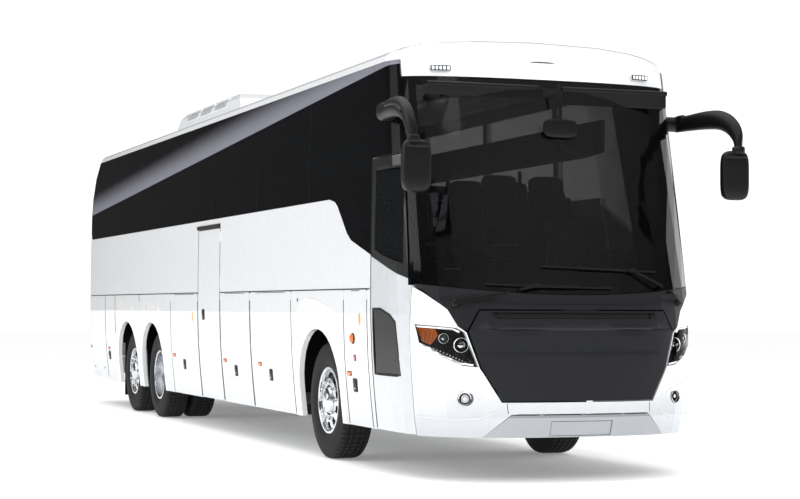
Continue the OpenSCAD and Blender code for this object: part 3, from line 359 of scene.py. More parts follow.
PAINTED = {
    body_lacquer: ("roof", "air_conditioner", "right_wall", "left_wall", "front_panel", "rear_panel",
                   "engine_door", "middle_door", "right_flap_1", "right_flap_2", "right_flap_3",
                   "service_flap", "left_flap_1", "left_flap_2", "left_flap_3"),
    arch_lacquer: ("wheel_arch_trims",),
    silver_lacquer: ("front_bumper",),
    side_glass: ("right_windows", "left_windows", "rear_window"),
    screen_glass: ("windscreen",),
    hatch_plastic: ("front_hatch", "cowl_panel"),
    black_plastic: ("windscreen_frame", "wheel_housings", "mirrors", "wipers", "steering_wheel",
                    "dashboard"),
    dark_recess: ("headlamps",),
    red_lens: ("tail_lamps",),
    tyre_rubber: ("front_right_tyre", "front_left_tyre", "drive_right_tyres", "drive_left_tyres",
                  "tag_right_tyre", "tag_left_tyre"),
    polished_rim: ("front_right_rim", "front_left_rim", "drive_right_rims", "drive_left_rims",
                   "tag_right_rim", "tag_left_rim"),
    chassis_paint: ("front_frame", "hold_frame", "rear_frame", "axles",
                    "right_knuckle", "left_knuckle"),
    hold_sheet: ("luggage_holds", "entry_steps"),
    floor_vinyl: ("floor",),
    lining_fabric: ("luggage_racks",),
    seat_cloth: ("seats",),
    engine_casting: ("engine",),
}


def door_lacquer():
    # Silver lacquer below, and the black bonded zone that carries on the windows' sweep above
    material = finish("sprayed_lacquer_silver_and_black", ("C3C6CA", "D2D5D8"), 0.09, 0.0004,
                      (0.3, 0.38), {"Coat Weight": 0.5, "Coat Roughness": 0.05})
    if "Sweep" not in material:
        material["Sweep"] = True
        # Above a line that falls 0.26 m in each metre forwards
        tint_by_place(material, "0B0C0E", (0.259, 0, 1.0), 3.190, 3.196)
    return material


# ---- Surfaces and mesh helpers ----

def skin_of(*names):
    """The surface of CAD nodes, to lay pieces on."""
    points = []
    faces = []
    for name in names:
        mesh = frame["nodes"][name].data
        base = len(points)
        points += [v.co.copy() for v in mesh.vertices]
        faces += [[base + i for i in p.vertices] for p in mesh.polygons]
    return BVHTree.FromPolygons(points, faces)


# For each way to look at the coach: the axes of an outline's two numbers, and the outward axis
FACES = {
    "nose": (1, 2, Vector((1, 0, 0))),
    "tail": (1, 2, Vector((-1, 0, 0))),
    "right": (0, 2, Vector((0, -1, 0))),
    "left": (0, 2, Vector((0, 1, 0))),
    "top": (0, 1, Vector((0, 0, 1))),
}


def on_skin(skin, face, a, b, lift=0.0):
    """A point of the surface and its outward normal, found straight in from outside."""
    first, second, outward = FACES[face]
    start = outward * FAR
    start[first] = a
    start[second] = b
    place, normal = skin.ray_cast(start, -outward)[:2]
    if place is None:
        place, normal = skin.find_nearest(start - outward * (FAR - 1.2))[:2]
        place = place.copy()
        place[first] = a
        place[second] = b
    if normal.dot(outward) < 0:
        normal = -normal
    return place + normal * lift, normal


def axes_at(normal, up=UP):
    """Across, upwards and outwards on a surface, as unit vectors."""
    outward = normal.normalized()
    across = up.cross(outward).normalized()
    return across, outward.cross(across), outward


class Piece:
    """A mesh in the making, whose parts each take a material."""

    def __init__(self, name, body):
        self.name = name
        self.body = body
        self.mesh = bmesh.new()
        self.materials = []

    def number(self, material):
        if material not in self.materials:
            self.materials.append(material)
        return self.materials.index(material)

    def loft(self, rings, material, round_path=False, capped=True):
        """Joins rings of points, each closed, in their order."""
        rows = [[self.mesh.verts.new(p) for p in ring] for ring in rings]
        made = []
        count = len(rows[0])
        last = len(rows) if round_path else len(rows) - 1
        for i in range(last):
            near, far = rows[i], rows[(i + 1) % len(rows)]
            for j in range(count):
                k = (j + 1) % count
                made.append(self.mesh.faces.new((near[j], near[k], far[k], far[j])))
        if capped and not round_path:
            made.append(self.mesh.faces.new(rows[0][::-1]))
            made.append(self.mesh.faces.new(rows[-1]))
        for each in made:
            each.material_index = self.number(material)
        return made

    def lathe(self, profile, centre, axes, material, turns=32, capped=True):
        """A turned shape, from pairs of radius and height along the third axis."""
        u, v, w = axes
        rings = []
        for radius, height in profile:
            rings.append([centre + w * height + (u * math.cos(t) + v * math.sin(t)) * radius
                          for t in (2 * math.pi * k / turns for k in range(turns))])
        return self.loft(rings, material, capped=capped)

    def pad(self, centre, axes, size, material, power=5.0, turns=20, layers=7):
        """A rounded block, its size along the three axes, squarer with a higher power."""
        u, v, w = axes
        rings = []
        for i in range(layers):
            lean = math.radians(-84 + 168 * i / (layers - 1))
            out = math.copysign(abs(math.sin(lean)) ** (2 / power), lean)
            share = abs(math.cos(lean)) ** (2 / power)
            ring = []
            for k in range(turns):
                t = 2 * math.pi * (k + 0.5) / turns
                c = math.copysign(abs(math.cos(t)) ** (2 / power), math.cos(t)) * share
                s = math.copysign(abs(math.sin(t)) ** (2 / power), math.sin(t)) * share
                ring.append(centre + u * (c * size[0] / 2) + v * (s * size[1] / 2)
                            + w * (out * size[2] / 2))
            rings.append(ring)
        return self.loft(rings, material)

    def bar(self, places, width, height, material, lift=0.0, closed=False):
        """A strip along places, each a point and a normal, standing lift to lift + height."""
        rings = []
        count = len(places)
        for i, (point, normal) in enumerate(places):
            if closed:
                ahead = places[(i + 1) % count][0] - places[i - 1][0]
            else:
                ahead = places[min(i + 1, count - 1)][0] - places[max(i - 1, 0)][0]
            side = ahead.normalized().cross(normal).normalized() * (width / 2)
            low = point + normal * lift
            high = point + normal * (lift + height)
            rings.append([low - side, low + side, high + side * 0.8, high - side * 0.8])
        return self.loft(rings, material, round_path=closed)

    def tube(self, places, radii, material, turns=16, flat=1.0):
        """A round or flattened tube through places, with a radius at each."""
        rings = []
        count = len(places)
        for i, point in enumerate(places):
            ahead = (places[min(i + 1, count - 1)] - places[max(i - 1, 0)]).normalized()
            side = ahead.cross(UP)
            side = side.normalized() if side.length > 0.05 else Vector((0, 1, 0))
            rise = side.cross(ahead).normalized()
            rings.append([point + side * (math.cos(t) * radii[i] * flat) + rise * (math.sin(t) * radii[i])
                          for t in (2 * math.pi * k / turns for k in range(turns))])
        return self.loft(rings, material)

    def done(self, smooth=35.0, bevel=0.0, thick=0.0, replaces=(), rounds=0, slot=None):
        """Makes the object, rides it on its body and returns it."""
        bmesh.ops.remove_doubles(self.mesh, verts=self.mesh.verts[:], dist=1e-6)
        bmesh.ops.recalc_face_normals(self.mesh, faces=self.mesh.faces[:])
        data = bpy.data.meshes.new(self.name)
        self.mesh.to_mesh(data)
        self.mesh.free()
        for material in self.materials:
            data.materials.append(material)
        data.shade_smooth()
        data.set_sharp_from_angle(angle=math.radians(smooth))
        piece = bpy.data.objects.new(self.name, data)
        bpy.context.scene.collection.objects.link(piece)
        if thick:
            shell = piece.modifiers.new("Thickness", "SOLIDIFY")
            shell.thickness = thick
            shell.offset = -1
        if rounds:
            soft = piece.modifiers.new("Rounding", "SUBSURF")
            soft.levels = soft.render_levels = rounds
        if bevel:
            edge = piece.modifiers.new("Edge", "BEVEL")
            edge.width = bevel
            edge.limit_method = "ANGLE"
        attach(piece, self.body)
        if replaces:
            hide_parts(*replaces)
        return piece


def path_on(skin, face, corners, step=0.12, lift=0.0, closed=False):
    """Places on the surface along a line through corners."""
    places = []
    ends = corners + corners[:1] if closed else corners
    for (a0, b0), (a1, b1) in zip(ends, ends[1:]):
        pieces = max(1, round(math.hypot(a1 - a0, b1 - b0) / step))
        places += [on_skin(skin, face, a0 + (a1 - a0) * i / pieces, b0 + (b1 - b0) * i / pieces, lift)
                   for i in range(pieces)]
    if not closed:
        places.append(on_skin(skin, face, *corners[-1], lift))
    return places


def draped(piece, outline, skin, face, lift, thick, step, material, cuts=(), relief=None):
    """Adds a plate over an outline, bent to the surface behind it, standing lift to lift + thick."""
    sheet = bmesh.new()
    sheet.faces.new([sheet.verts.new((a, b, 0)) for a, b in outline])
    planes = list(cuts)
    for axis in (0, 1):
        low = min(p[axis] for p in outline)
        high = max(p[axis] for p in outline)
        count = max(1, round((high - low) / step))
        planes += [(axis, low + (high - low) * i / count) for i in range(1, count)]
    for axis, place in planes:
        everything = sheet.verts[:] + sheet.edges[:] + sheet.faces[:]
        spot = (place, 0, 0) if axis == 0 else (0, place, 0)
        way = (1, 0, 0) if axis == 0 else (0, 1, 0)
        bmesh.ops.bisect_plane(sheet, geom=everything, dist=1e-6, plane_co=spot, plane_no=way)
    top = {}
    base = {}
    for vert in sheet.verts:
        place, normal = on_skin(skin, face, vert.co.x, vert.co.y)
        drop = relief(vert.co.x, vert.co.y) if relief else 0.0
        top[vert] = piece.mesh.verts.new(place + normal * (lift + thick - drop))
        base[vert] = piece.mesh.verts.new(place + normal * (lift - drop))
    made = []
    for each in sheet.faces:
        made.append(piece.mesh.faces.new([top[v] for v in each.verts]))
        made.append(piece.mesh.faces.new([base[v] for v in reversed(each.verts)]))
    for edge in sheet.edges:
        if len(edge.link_faces) == 1:
            a, b = edge.verts
            made.append(piece.mesh.faces.new((top[a], top[b], base[b], base[a])))
    for each in made:
        each.material_index = piece.number(material)
    sheet.free()
    return made


def curve_through(corners, steps):
    """Points of a smooth curve through corners, and the share along it of each."""
    points = []
    count = len(corners) - 1
    for i in range(steps + 1):
        t = min(i * count / steps, count - 1e-6)
        k = int(t)
        t -= k
        p0, p1, p2, p3 = (corners[max(0, min(count, k + j))] for j in (-1, 0, 1, 2))
        points.append(0.5 * (2 * p1 + (p2 - p0) * t + (2 * p0 - 5 * p1 + 4 * p2 - p3) * t * t
                             + (3 * p1 - p0 - 3 * p2 + p3) * t ** 3))
    return points


# ---- Pieces ----

def tyre_pieces():
    """Each tyre node becomes carcasses with ribs, grooves and sipes of real depth."""
    sizes = bpy.context.scene.coach_sizes
    bodies = frame["record"]["behaviour"]["bodies"]
    body_of = {node: body for body, nodes in bodies.items() for node in nodes}
    rim_low, rim_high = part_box("front_right_rim")
    bead = (rim_high[2] - rim_low[2]) / 2 - 0.0125
    one_low, one_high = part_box("front_right_tyre")
    width = one_high[1] - one_low[1]
    for node in [n for n in frame["nodes"] if n.endswith(("_tyre", "_tyres"))]:
        low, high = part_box(node)
        outer = (high[2] - low[2]) / 2
        hub = Vector(((low[0] + high[0]) / 2, 0, (low[2] + high[2]) / 2))
        middles = [low[1] + width / 2]
        if high[1] - low[1] > 1.5 * width:
            middles.append(high[1] - width / 2)
        piece = Piece(node + "_rubber", body_of[node])
        for middle in middles:
            add_tyre(piece, hub, middle, bead, outer, width, sizes)
        piece.done(smooth=40, replaces=(node,), slot="tyre_rubber")


def tyre_profile(bead, outer, width, groove):
    """Radius, distance from the middle and whether sipes cut it, around one tyre's section."""
    half = [(bead, -0.398, False), (bead + 0.016, -0.40, False), (bead + 0.018, -0.438, False),
            (bead + 0.034, -0.455, False), (bead + 0.036, -0.462, False), (bead + 0.07, -0.488, False),
            (bead + 0.10, -0.499, False), (bead + 0.13, -0.499, False), (bead + 0.134, -0.493, False),
            (bead + 0.16, -0.487, False), (outer - 0.045, -0.475, False), (outer - 0.022, -0.447, True),
            (outer - 0.008, -0.412, True), (outer - 0.003, -0.36, True), (outer, -0.29, True)]
    for at in (-0.26, -0.10):
        half += [(outer, at - 0.022, True), (outer - groove, at - 0.014, False),
                 (outer - groove, at + 0.014, False), (outer, at + 0.022, True)]
    whole = half + [(r, -y, cut) for r, y, cut in reversed(half)]
    return [(r, y * width, cut) for r, y, cut in whole]


def add_tyre(piece, hub, middle, bead, outer, width, sizes):
    profile = tyre_profile(bead, outer, width, sizes.groove_depth)
    rings = []
    for block in range(sizes.tread_blocks):
        for share, cut in ((0.0, False), (0.80, False), (0.84, True), (0.96, True)):
            angle = 2 * math.pi * (block + share) / sizes.tread_blocks
            depth = sizes.groove_depth * 0.6 if cut else 0.0
            ring = []
            for radius, offset, sipes in profile:
                reach = radius - (depth if sipes else 0)
                # Sipes run aslant, so the far side of the tread turns a little further
                slant = angle + 0.016 * offset / width
                ring.append(hub + Vector((math.cos(slant) * reach, middle + offset,
                                          math.sin(slant) * reach)))
            rings.append(ring)
    piece.loft(rings, tyre_rubber(), round_path=True)


def rim_pieces():
    """Polished rims with hand holes, nut caps and hubs stand for the plain rims."""
    bodies = frame["record"]["behaviour"]["bodies"]
    body_of = {node: body for body, nodes in bodies.items() for node in nodes}
    low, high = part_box("front_right_tyre")
    width = high[1] - low[1]
    track = (low[1] + high[1]) / 2
    for node in [n for n in frame["nodes"] if n.endswith(("_rim", "_rims"))]:
        low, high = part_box(node)
        side = RIGHT if "right" in node else LEFT
        flange = (high[2] - low[2]) / 2
        hub = Vector(((low[0] + high[0]) / 2, side * abs(track), (low[2] + high[2]) / 2))
        axes = (Vector((1, 0, 0)), Vector((0, 0, 1)), Vector((0, side, 0)))
        piece = Piece(node + "_polished", body_of[node])
        add_barrel(piece, hub, axes, flange, width)
        if "drive" in node:
            inner_low, inner_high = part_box(node.replace("rims", "tyres"))
            pitch = inner_high[1] - inner_low[1] - width
            inner = hub - axes[2] * pitch
            add_barrel(piece, inner, axes, flange, width)
            add_disc(piece, hub, axes, [(0.286, 0.01), (0.276, -0.006), (0.25, -0.026),
                     (0.225, -0.034), (0.195, -0.036), (0.15, -0.036)])
            piece.lathe([(0.15, -0.05), (0.152, -0.03), (0.146, 0.012), (0.13, 0.034), (0.108, 0.042),
                         (0.1, 0.05), (0.05, 0.053), (0.002, 0.054)], hub, axes, polished_rim(), 48)
            piece.lathe([(0.178, 0.082), (0.178, pitch - 0.05), (0.1, pitch - 0.05), (0.1, 0.082)],
                        inner, axes, dark_recess(), 32, capped=False)
            piece.lathe([(0.276, 0.03), (0.211, 0.088), (0.05, 0.088), (0.05, 0.06), (0.2, 0.06),
                         (0.276, 0.02)], inner, axes, dark_recess(), 32, capped=False)
            add_nuts(piece, hub, axes, -0.036)
        else:
            add_disc(piece, hub, axes, [(0.284, 0.07), (0.274, 0.086), (0.25, 0.104),
                     (0.225, 0.113), (0.195, 0.117), (0.135, 0.118)])
            piece.lathe([(0.12, 0.10), (0.122, 0.116), (0.112, 0.13), (0.106, 0.14), (0.088, 0.146),
                         (0.07, 0.152), (0.064, 0.158), (0.04, 0.161), (0.002, 0.162)], hub, axes,
                        polished_rim(), 48)
            add_nuts(piece, hub, axes, 0.116)
        piece.done(smooth=32, replaces=(node,), slot="polished_alloy")


def add_barrel(piece, hub, axes, flange, width):
    """The tube that carries the tyre, with its flange's rolled edge outside."""
    seat = flange - 0.014
    piece.lathe([(seat - 0.008, -0.41 * width), (seat, -0.4 * width), (seat, 0.395 * width),
                 (flange - 0.003, 0.40 * width), (flange, 0.41 * width), (flange, 0.42 * width),
                 (flange - 0.004, 0.43 * width), (flange - 0.02, 0.43 * width),
                 (seat - 0.014, 0.41 * width), (seat - 0.014, 0.2 * width), (seat - 0.03, 0.0),
                 (seat - 0.02, -0.41 * width)], hub, axes, polished_rim(), 64, capped=False)
    piece.lathe([(seat - 0.02, -0.41 * width), (seat - 0.008, -0.41 * width)], hub, axes,
                polished_rim(), 64, capped=False)


def add_disc(piece, hub, axes, profile):
    """The wheel disc, its ten hand holes left open between two faces 8 mm apart."""
    u, v, w = axes
    turns = 160
    holes = bpy.context.scene.coach_sizes.wheel_nuts
    thick = 0.008

    def is_hole(i, k):
        # The second and third bands outwards from the nuts, for 6 steps in each 16
        return i in (2, 3) and (k % (turns // holes)) in range(3, 11)

    front = [[piece.mesh.verts.new(hub + w * h + (u * math.cos(t) + v * math.sin(t)) * r)
              for t in (2 * math.pi * k / turns for k in range(turns))] for r, h in profile]
    back = [[piece.mesh.verts.new(p.co - w * thick) for p in ring] for ring in front]
    made = []
    last = len(profile) - 1
    for i in range(last):
        for k in range(turns):
            n = (k + 1) % turns
            if is_hole(i, k):
                # Walls of the hole where its neighbour is solid
                for away, pair in ((is_hole(i - 1, k), (i, k, i, n)),
                                   (is_hole(i + 1, k), (i + 1, n, i + 1, k)),
                                   (is_hole(i, k - 1), (i + 1, k, i, k)),
                                   (is_hole(i, n), (i, n, i + 1, n))):
                    if not away:
                        a, b, c, d = pair
                        made.append(piece.mesh.faces.new((front[a][b], front[c][d], back[c][d], back[a][b])))
                continue
            made.append(piece.mesh.faces.new((front[i][k], front[i][n], front[i + 1][n], front[i + 1][k])))
            made.append(piece.mesh.faces.new((back[i][k], back[i + 1][k], back[i + 1][n], back[i][n])))
    for k in range(turns):
        n = (k + 1) % turns
        made.append(piece.mesh.faces.new((front[0][k], back[0][k], back[0][n], front[0][n])))
        made.append(piece.mesh.faces.new((front[last][k], front[last][n], back[last][n], back[last][k])))
    for each in made:
        each.material_index = piece.number(polished_rim())
    # Dark drum seen through the holes
    depth = profile[3][1] - 0.035
    piece.lathe([(0.262, depth - 0.006), (0.262, depth), (0.16, depth), (0.16, depth - 0.006)],
                hub, axes, dark_recess(), 48, capped=False)
    piece.lathe([(0.16, depth - 0.006), (0.262, depth - 0.006)], hub, axes, dark_recess(), 48,
                capped=False)


def add_nuts(piece, hub, axes, base):
    """Ten bright nut caps on the bolt circle."""
    u, v, w = axes
    sizes = bpy.context.scene.coach_sizes
    for k in range(sizes.wheel_nuts):
        t = 2 * math.pi * k / sizes.wheel_nuts
        place = hub + w * base + (u * math.cos(t) + v * math.sin(t)) * sizes.bolt_circle / 2
        piece.lathe([(0.021, 0.0), (0.021, 0.006), (0.0165, 0.008), (0.0165, 0.026), (0.012, 0.036),
                     (0.001, 0.038)], place, axes, chrome(), 12)


def mirror_pieces():
    """Two hanging mirrors, each a swept arm with a slot and a rounded head."""
    piece = Piece("hanging_mirrors", "body")
    glass = Piece("mirror_glasses", "body")
    for side in (RIGHT, LEFT):
        def at(x, y, z):
            return Vector((x, side * y, z))
        route = [at(5.885, 1.325, 2.905), at(6.08, 1.36, 2.915), at(6.32, 1.385, 2.915),
                 at(6.52, 1.40, 2.895), at(6.67, 1.408, 2.835), at(6.755, 1.412, 2.75),
                 at(6.785, 1.405, 2.66), at(6.79, 1.40, 2.60)]
        places = curve_through(route, 40)
        radii = [0.058 + 0.024 * math.sin(math.pi * min(1.0, i / 34)) - 0.006 * i / 40
                 for i in range(41)]
        piece.tube(places, radii, black_plastic(), 20, 0.62)
        # Foot against the corner of the body
        piece.lathe([(0.062, -0.12), (0.064, 0.0), (0.058, 0.03), (0.035, 0.045), (0.002, 0.047)],
                    at(5.885, 1.32, 2.915), (Vector((1, 0, 0)), UP, Vector((0, side, 0))),
                    black_plastic(), 28)
        piece.pad(at(5.93, 1.335, 2.93), (Vector((1, 0, 0.1)).normalized(), UP, Vector((0, side, 0))),
                  (0.20, 0.115, 0.075), black_plastic(), 3.2)
        # Long groove on the arm's outer side
        groove = [place + Vector((0, side * 0.046, 0.016)) for place in places[9:24]]
        piece.tube(groove, [0.011] * len(groove), dark_recess(), 8)
        # Collar and head
        axes = (Vector((0, 1, 0)), Vector((0, 0, 1)), Vector((1, 0, 0)))
        piece.lathe([(0.045, -0.03), (0.052, -0.02), (0.052, 0.02), (0.042, 0.03)],
                    at(6.797, 1.40, 2.628), (Vector((1, 0, 0)), Vector((0, 1, 0)), UP),
                    black_plastic(), 24)
        head = at(6.783, 1.372, 2.425)
        tilt = Matrix.Rotation(math.radians(-4 * side), 3, "Z")
        turned = tuple(tilt @ axis for axis in axes)
        piece.pad(head, turned, (0.235, 0.40, 0.105), black_plastic(), 4.2, 32, 13)
        # Shallow ridge around the front of the head, and the marker line below it
        piece.pad(head + Vector((0.006, 0, 0.145)), turned, (0.20, 0.022, 0.10), dark_recess(), 6)
        glass.pad(head + Vector((-0.052, 0, 0.055)), turned, (0.19, 0.23, 0.008), mirror_silver(), 7)
        glass.pad(head + Vector((-0.052, 0, -0.125)), turned, (0.19, 0.10, 0.008), mirror_silver(), 7)
    piece.done(smooth=50, replaces=("mirrors",), slot="black_plastic")
    glass.done()


def wiper_pieces():
    """Two wipers: spindle cap, sprung arm, claw and rubber blade, lying on the windscreen."""
    screen = skin_of("windscreen", "cowl_panel", "front_hatch")
    piece = Piece("screen_wipers", "body")
    wipers = [((-0.962, 1.385), (-0.34, 1.512), (-0.73, 1.530), (0.30, 1.505)),
              ((0.985, 1.405), (0.50, 1.643), (-0.28, 1.672), (0.74, 1.640))]
    for pivot, tip, blade_start, blade_end in wipers:
        place, normal = on_skin(screen, "nose", *pivot)
        piece.lathe([(0.034, 0.0), (0.034, 0.012), (0.026, 0.03), (0.014, 0.038), (0.002, 0.04)],
                    place - normal * 0.002, axes_at(normal), black_plastic(), 24)
        arm = path_on(screen, "nose", [pivot, tip], 0.05)
        count = len(arm) - 1
        heavy = [(p + n * (0.028 + 0.016 * math.sin(math.pi * i / count)), n) for i, (p, n) in enumerate(arm)]
        piece.bar(heavy[:count // 2 + 1], 0.034, 0.014, black_plastic())
        piece.bar(heavy[count // 2:], 0.02, 0.009, black_plastic(), 0.003)
        blade = path_on(screen, "nose", [blade_start, tip, blade_end], 0.05)
        piece.bar(blade, 0.006, 0.012, trim_rubber(), 0.001)
        piece.bar(blade, 0.015, 0.009, black_plastic(), 0.012)
        middle = len(blade) // 2
        piece.bar(blade[middle - 5:middle + 5], 0.021, 0.010, black_plastic(), 0.019)
        claw = on_skin(screen, "nose", *tip)
        piece.pad(claw[0] + claw[1] * 0.032, axes_at(claw[1]), (0.07, 0.03, 0.022), black_plastic())
    piece.done(replaces=("wipers",), slot="black_plastic", bevel=0.0015)


LAMP = [(0.905, 1.160), (0.960, 1.195), (1.204, 1.222), (1.180, 1.069), (1.040, 0.965), (0.925, 0.905),
        (0.812, 0.892)]


def headlamp_pieces():
    """Projectors, light guides, indicators and clear covers in the two front corners."""
    skin = skin_of("headlamps")
    for side in (RIGHT, LEFT):
        piece = Piece(side_name(side) + "_headlamp", "body")

        def at(points):
            shaped = [(side * a, b) for a, b in points]
            return shaped if side == RIGHT else shaped[::-1]
        # Main lamp and the smaller projector outside it
        for y, z, radius in ((0.923, 1.062, 0.062), (1.034, 1.113, 0.042)):
            add_projector(piece, skin, side * y, z, radius)
        # White light guides along the upper and the lower edge
        for corners in ([(0.930, 1.163), (0.968, 1.183), (1.188, 1.207), (1.168, 1.085)],
                        [(1.165, 1.078), (1.034, 0.981), (0.922, 0.921), (0.838, 0.908)]):
            guide = path_on(skin, "nose", at(corners), 0.02)
            piece.bar(guide, 0.015, 0.010, white_lens(), 0.012)
        # Bright lower bezel with its row of small steps
        for i in range(14):
            t = i / 13
            place, normal = on_skin(skin, "nose", side * (1.125 - 0.25 * t), 1.057 - 0.135 * t)
            piece.pad(place + normal * 0.008, axes_at(normal), (0.013, 0.016, 0.012), chrome())
        draped(piece, at([(1.062, 1.135), (1.080, 1.188), (1.176, 1.195), (1.160, 1.095), (1.105, 1.062)]),
               skin, "nose", 0.004, 0.010, 0.02, amber_lens())
        for i in range(4):
            rib = path_on(skin, "nose", at([(1.085 + 0.022 * i, 1.180), (1.098 + 0.018 * i, 1.085)]), 0.02)
            piece.bar(rib, 0.004, 0.004, amber_lens(), 0.014)
        piece.done(smooth=40)
        cover = Piece(side_name(side) + "_headlamp_cover", "body")
        centre = Vector((1.01, 1.06))
        inset = [tuple(centre + (Vector(p) - centre) * 0.985) for p in LAMP]
        draped(cover, at(inset), skin, "nose", 0.024, 0.003, 0.04, clear_lens())
        cover.done(smooth=60)
        fog = Piece(side_name(side) + "_fog_lamp", "body")
        place, normal = on_skin(skin, "nose", side * 0.903, 0.651)
        axes = axes_at(Vector((1, side * 0.45, 0)).normalized())
        place = place + Vector((0.006, 0, 0))
        fog.lathe([(0.0, 0.0), (0.030, 0.004), (0.044, 0.014), (0.046, 0.024), (0.052, 0.026),
                   (0.052, 0.006)][::-1], place, axes, chrome(), 36)
        fog.lathe([(0.041, 0.014), (0.032, 0.022), (0.014, 0.027), (0.001, 0.028)], place, axes,
                  clear_lens(), 32)
        fog.lathe([(0.016, 0.004), (0.014, 0.014), (0.001, 0.016)], place, axes, white_lens(), 20)
        fog.done(smooth=40)


def add_projector(piece, skin, y, z, radius):
    """A chrome ring around a reflector with a glass dome."""
    place, normal = on_skin(skin, "nose", y, z)
    facing = (normal + Vector((1.2, 0, 0))).normalized()
    axes = axes_at(facing)
    r = radius
    piece.lathe([(r, -0.004), (r, 0.016), (r * 0.94, 0.021), (r * 0.84, 0.018), (r * 0.80, 0.008),
                 (r * 0.72, 0.004), (r * 0.30, 0.0)], place, axes, chrome(), 40)
    piece.lathe([(r * 0.86, 0.0185), (r * 0.90, 0.0215), (r * 0.93, 0.0195)], place, axes,
                white_lens(), 40, capped=False)
    piece.lathe([(r * 0.56, 0.004), (r * 0.55, 0.012), (r * 0.48, 0.018), (r * 0.3, 0.023),
                 (0.001, 0.025)], place, axes, mirror_silver(), 32)
    piece.lathe([(r * 0.66, 0.003), (r * 0.64, 0.011), (r * 0.58, 0.012), (r * 0.56, 0.004)], place,
                axes, dark_recess(), 32, capped=False)


HATCH = [(-0.795, 1.330), (-0.8805, 1.168), (-0.794, 0.891), (-0.6388, 0.634), (0.6388, 0.634),
         (0.794, 0.891), (0.8805, 1.168), (0.795, 1.330)]


def hatch_relief(y, z):
    """How far the hatch's skin lies back from its outermost level, in metres."""
    wide = abs(y)

    def bell(middle, reach):
        return max(0.0, 1 - abs(z - middle) / reach)
    groove_z = 1.182 + 0.012 * (wide / 0.8) ** 2
    deep = 0.012 * bell(groove_z, 0.014) * min(1.0, max(0.0, (0.82 - wide) / 0.05))
    # The panel between groove and crease is dished, and rolls out to the crease
    fade = min(1.0, max(0.0, (0.79 - wide) / 0.12))
    dish = 0.010 * fade * min(1.0, max(0.0, (z - 0.985) / 0.03)) if z < groove_z else 0.0
    slot = 0.016 if 1.268 < z < 1.318 and wide < 0.712 - 0.35 * (1.318 - z) else 0.0
    return min(0.017, deep + dish * 0.6 + slot)


def hatch_piece():
    """The front hatch with its slot, groove and crease in relief, blank of any maker's sign."""
    skin = skin_of("front_hatch", "cowl_panel")
    piece = Piece("front_hatch_moulding", "front_hatch")
    cuts = [(1, z) for z in (1.3181, 1.3179, 1.2681, 1.2679, 1.200, 1.192, 1.184, 1.176, 1.168, 1.02,
                             1.015, 1.0, 0.99, 0.985, 0.975)]
    cuts += [(0, side * y) for side in (RIGHT, LEFT) for y in (0.6948, 0.7120)]
    draped(piece, HATCH, skin, "nose", -0.0185, 0.018, 0.07, hatch_plastic(), cuts, hatch_relief)
    for side in (RIGHT, LEFT):
        for y in (0.66, 0.69):
            place, normal = on_skin(skin, "nose", side * y, 1.293)
            piece.pad(place - normal * 0.010, axes_at(normal), (0.006, 0.044, 0.008), dark_recess())
    strip = path_on(skin, "nose", [(-0.70, 1.293), (0.70, 1.293)], 0.05, -0.0165)
    piece.bar(strip, 0.046, 0.0015, dark_recess())
    # Hinge rod along the middle of the upper edge
    rod_x, rod_z = 6.7648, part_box("front_hatch")[1][2] - 0.0037
    rod = [Vector((rod_x, y, rod_z)) for y in (-0.15, 0.0, 0.15)]
    piece.tube(rod, [0.0035] * 3, black_plastic(), 12)
    piece.done(smooth=28, replaces=("front_hatch",))
    cowl = Piece("cowl_moulding", "body")
    lip = path_on(skin, "nose", [(-1.06, 1.425), (-0.5, 1.388), (0.5, 1.388), (1.06, 1.425)], 0.06)
    cowl.bar(lip, 0.012, 0.010, hatch_plastic(), -0.002)
    cowl.done(smooth=30)


def low_side_nodes(side):
    """Lower side panels of one side, from the front, with the body each rides on."""
    nodes = [f"{side_name(side)}_flap_{i}" for i in (1, 2, 3)]
    if side == RIGHT:
        nodes += ["service_flap", "middle_door"]
    return nodes


def body_at(side, x):
    """The flap or door that a lower fitting at x belongs to, or the coach's body."""
    for node in low_side_nodes(side):
        low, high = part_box(node)
        if low[0] < x < high[0]:
            return node
    return "body"


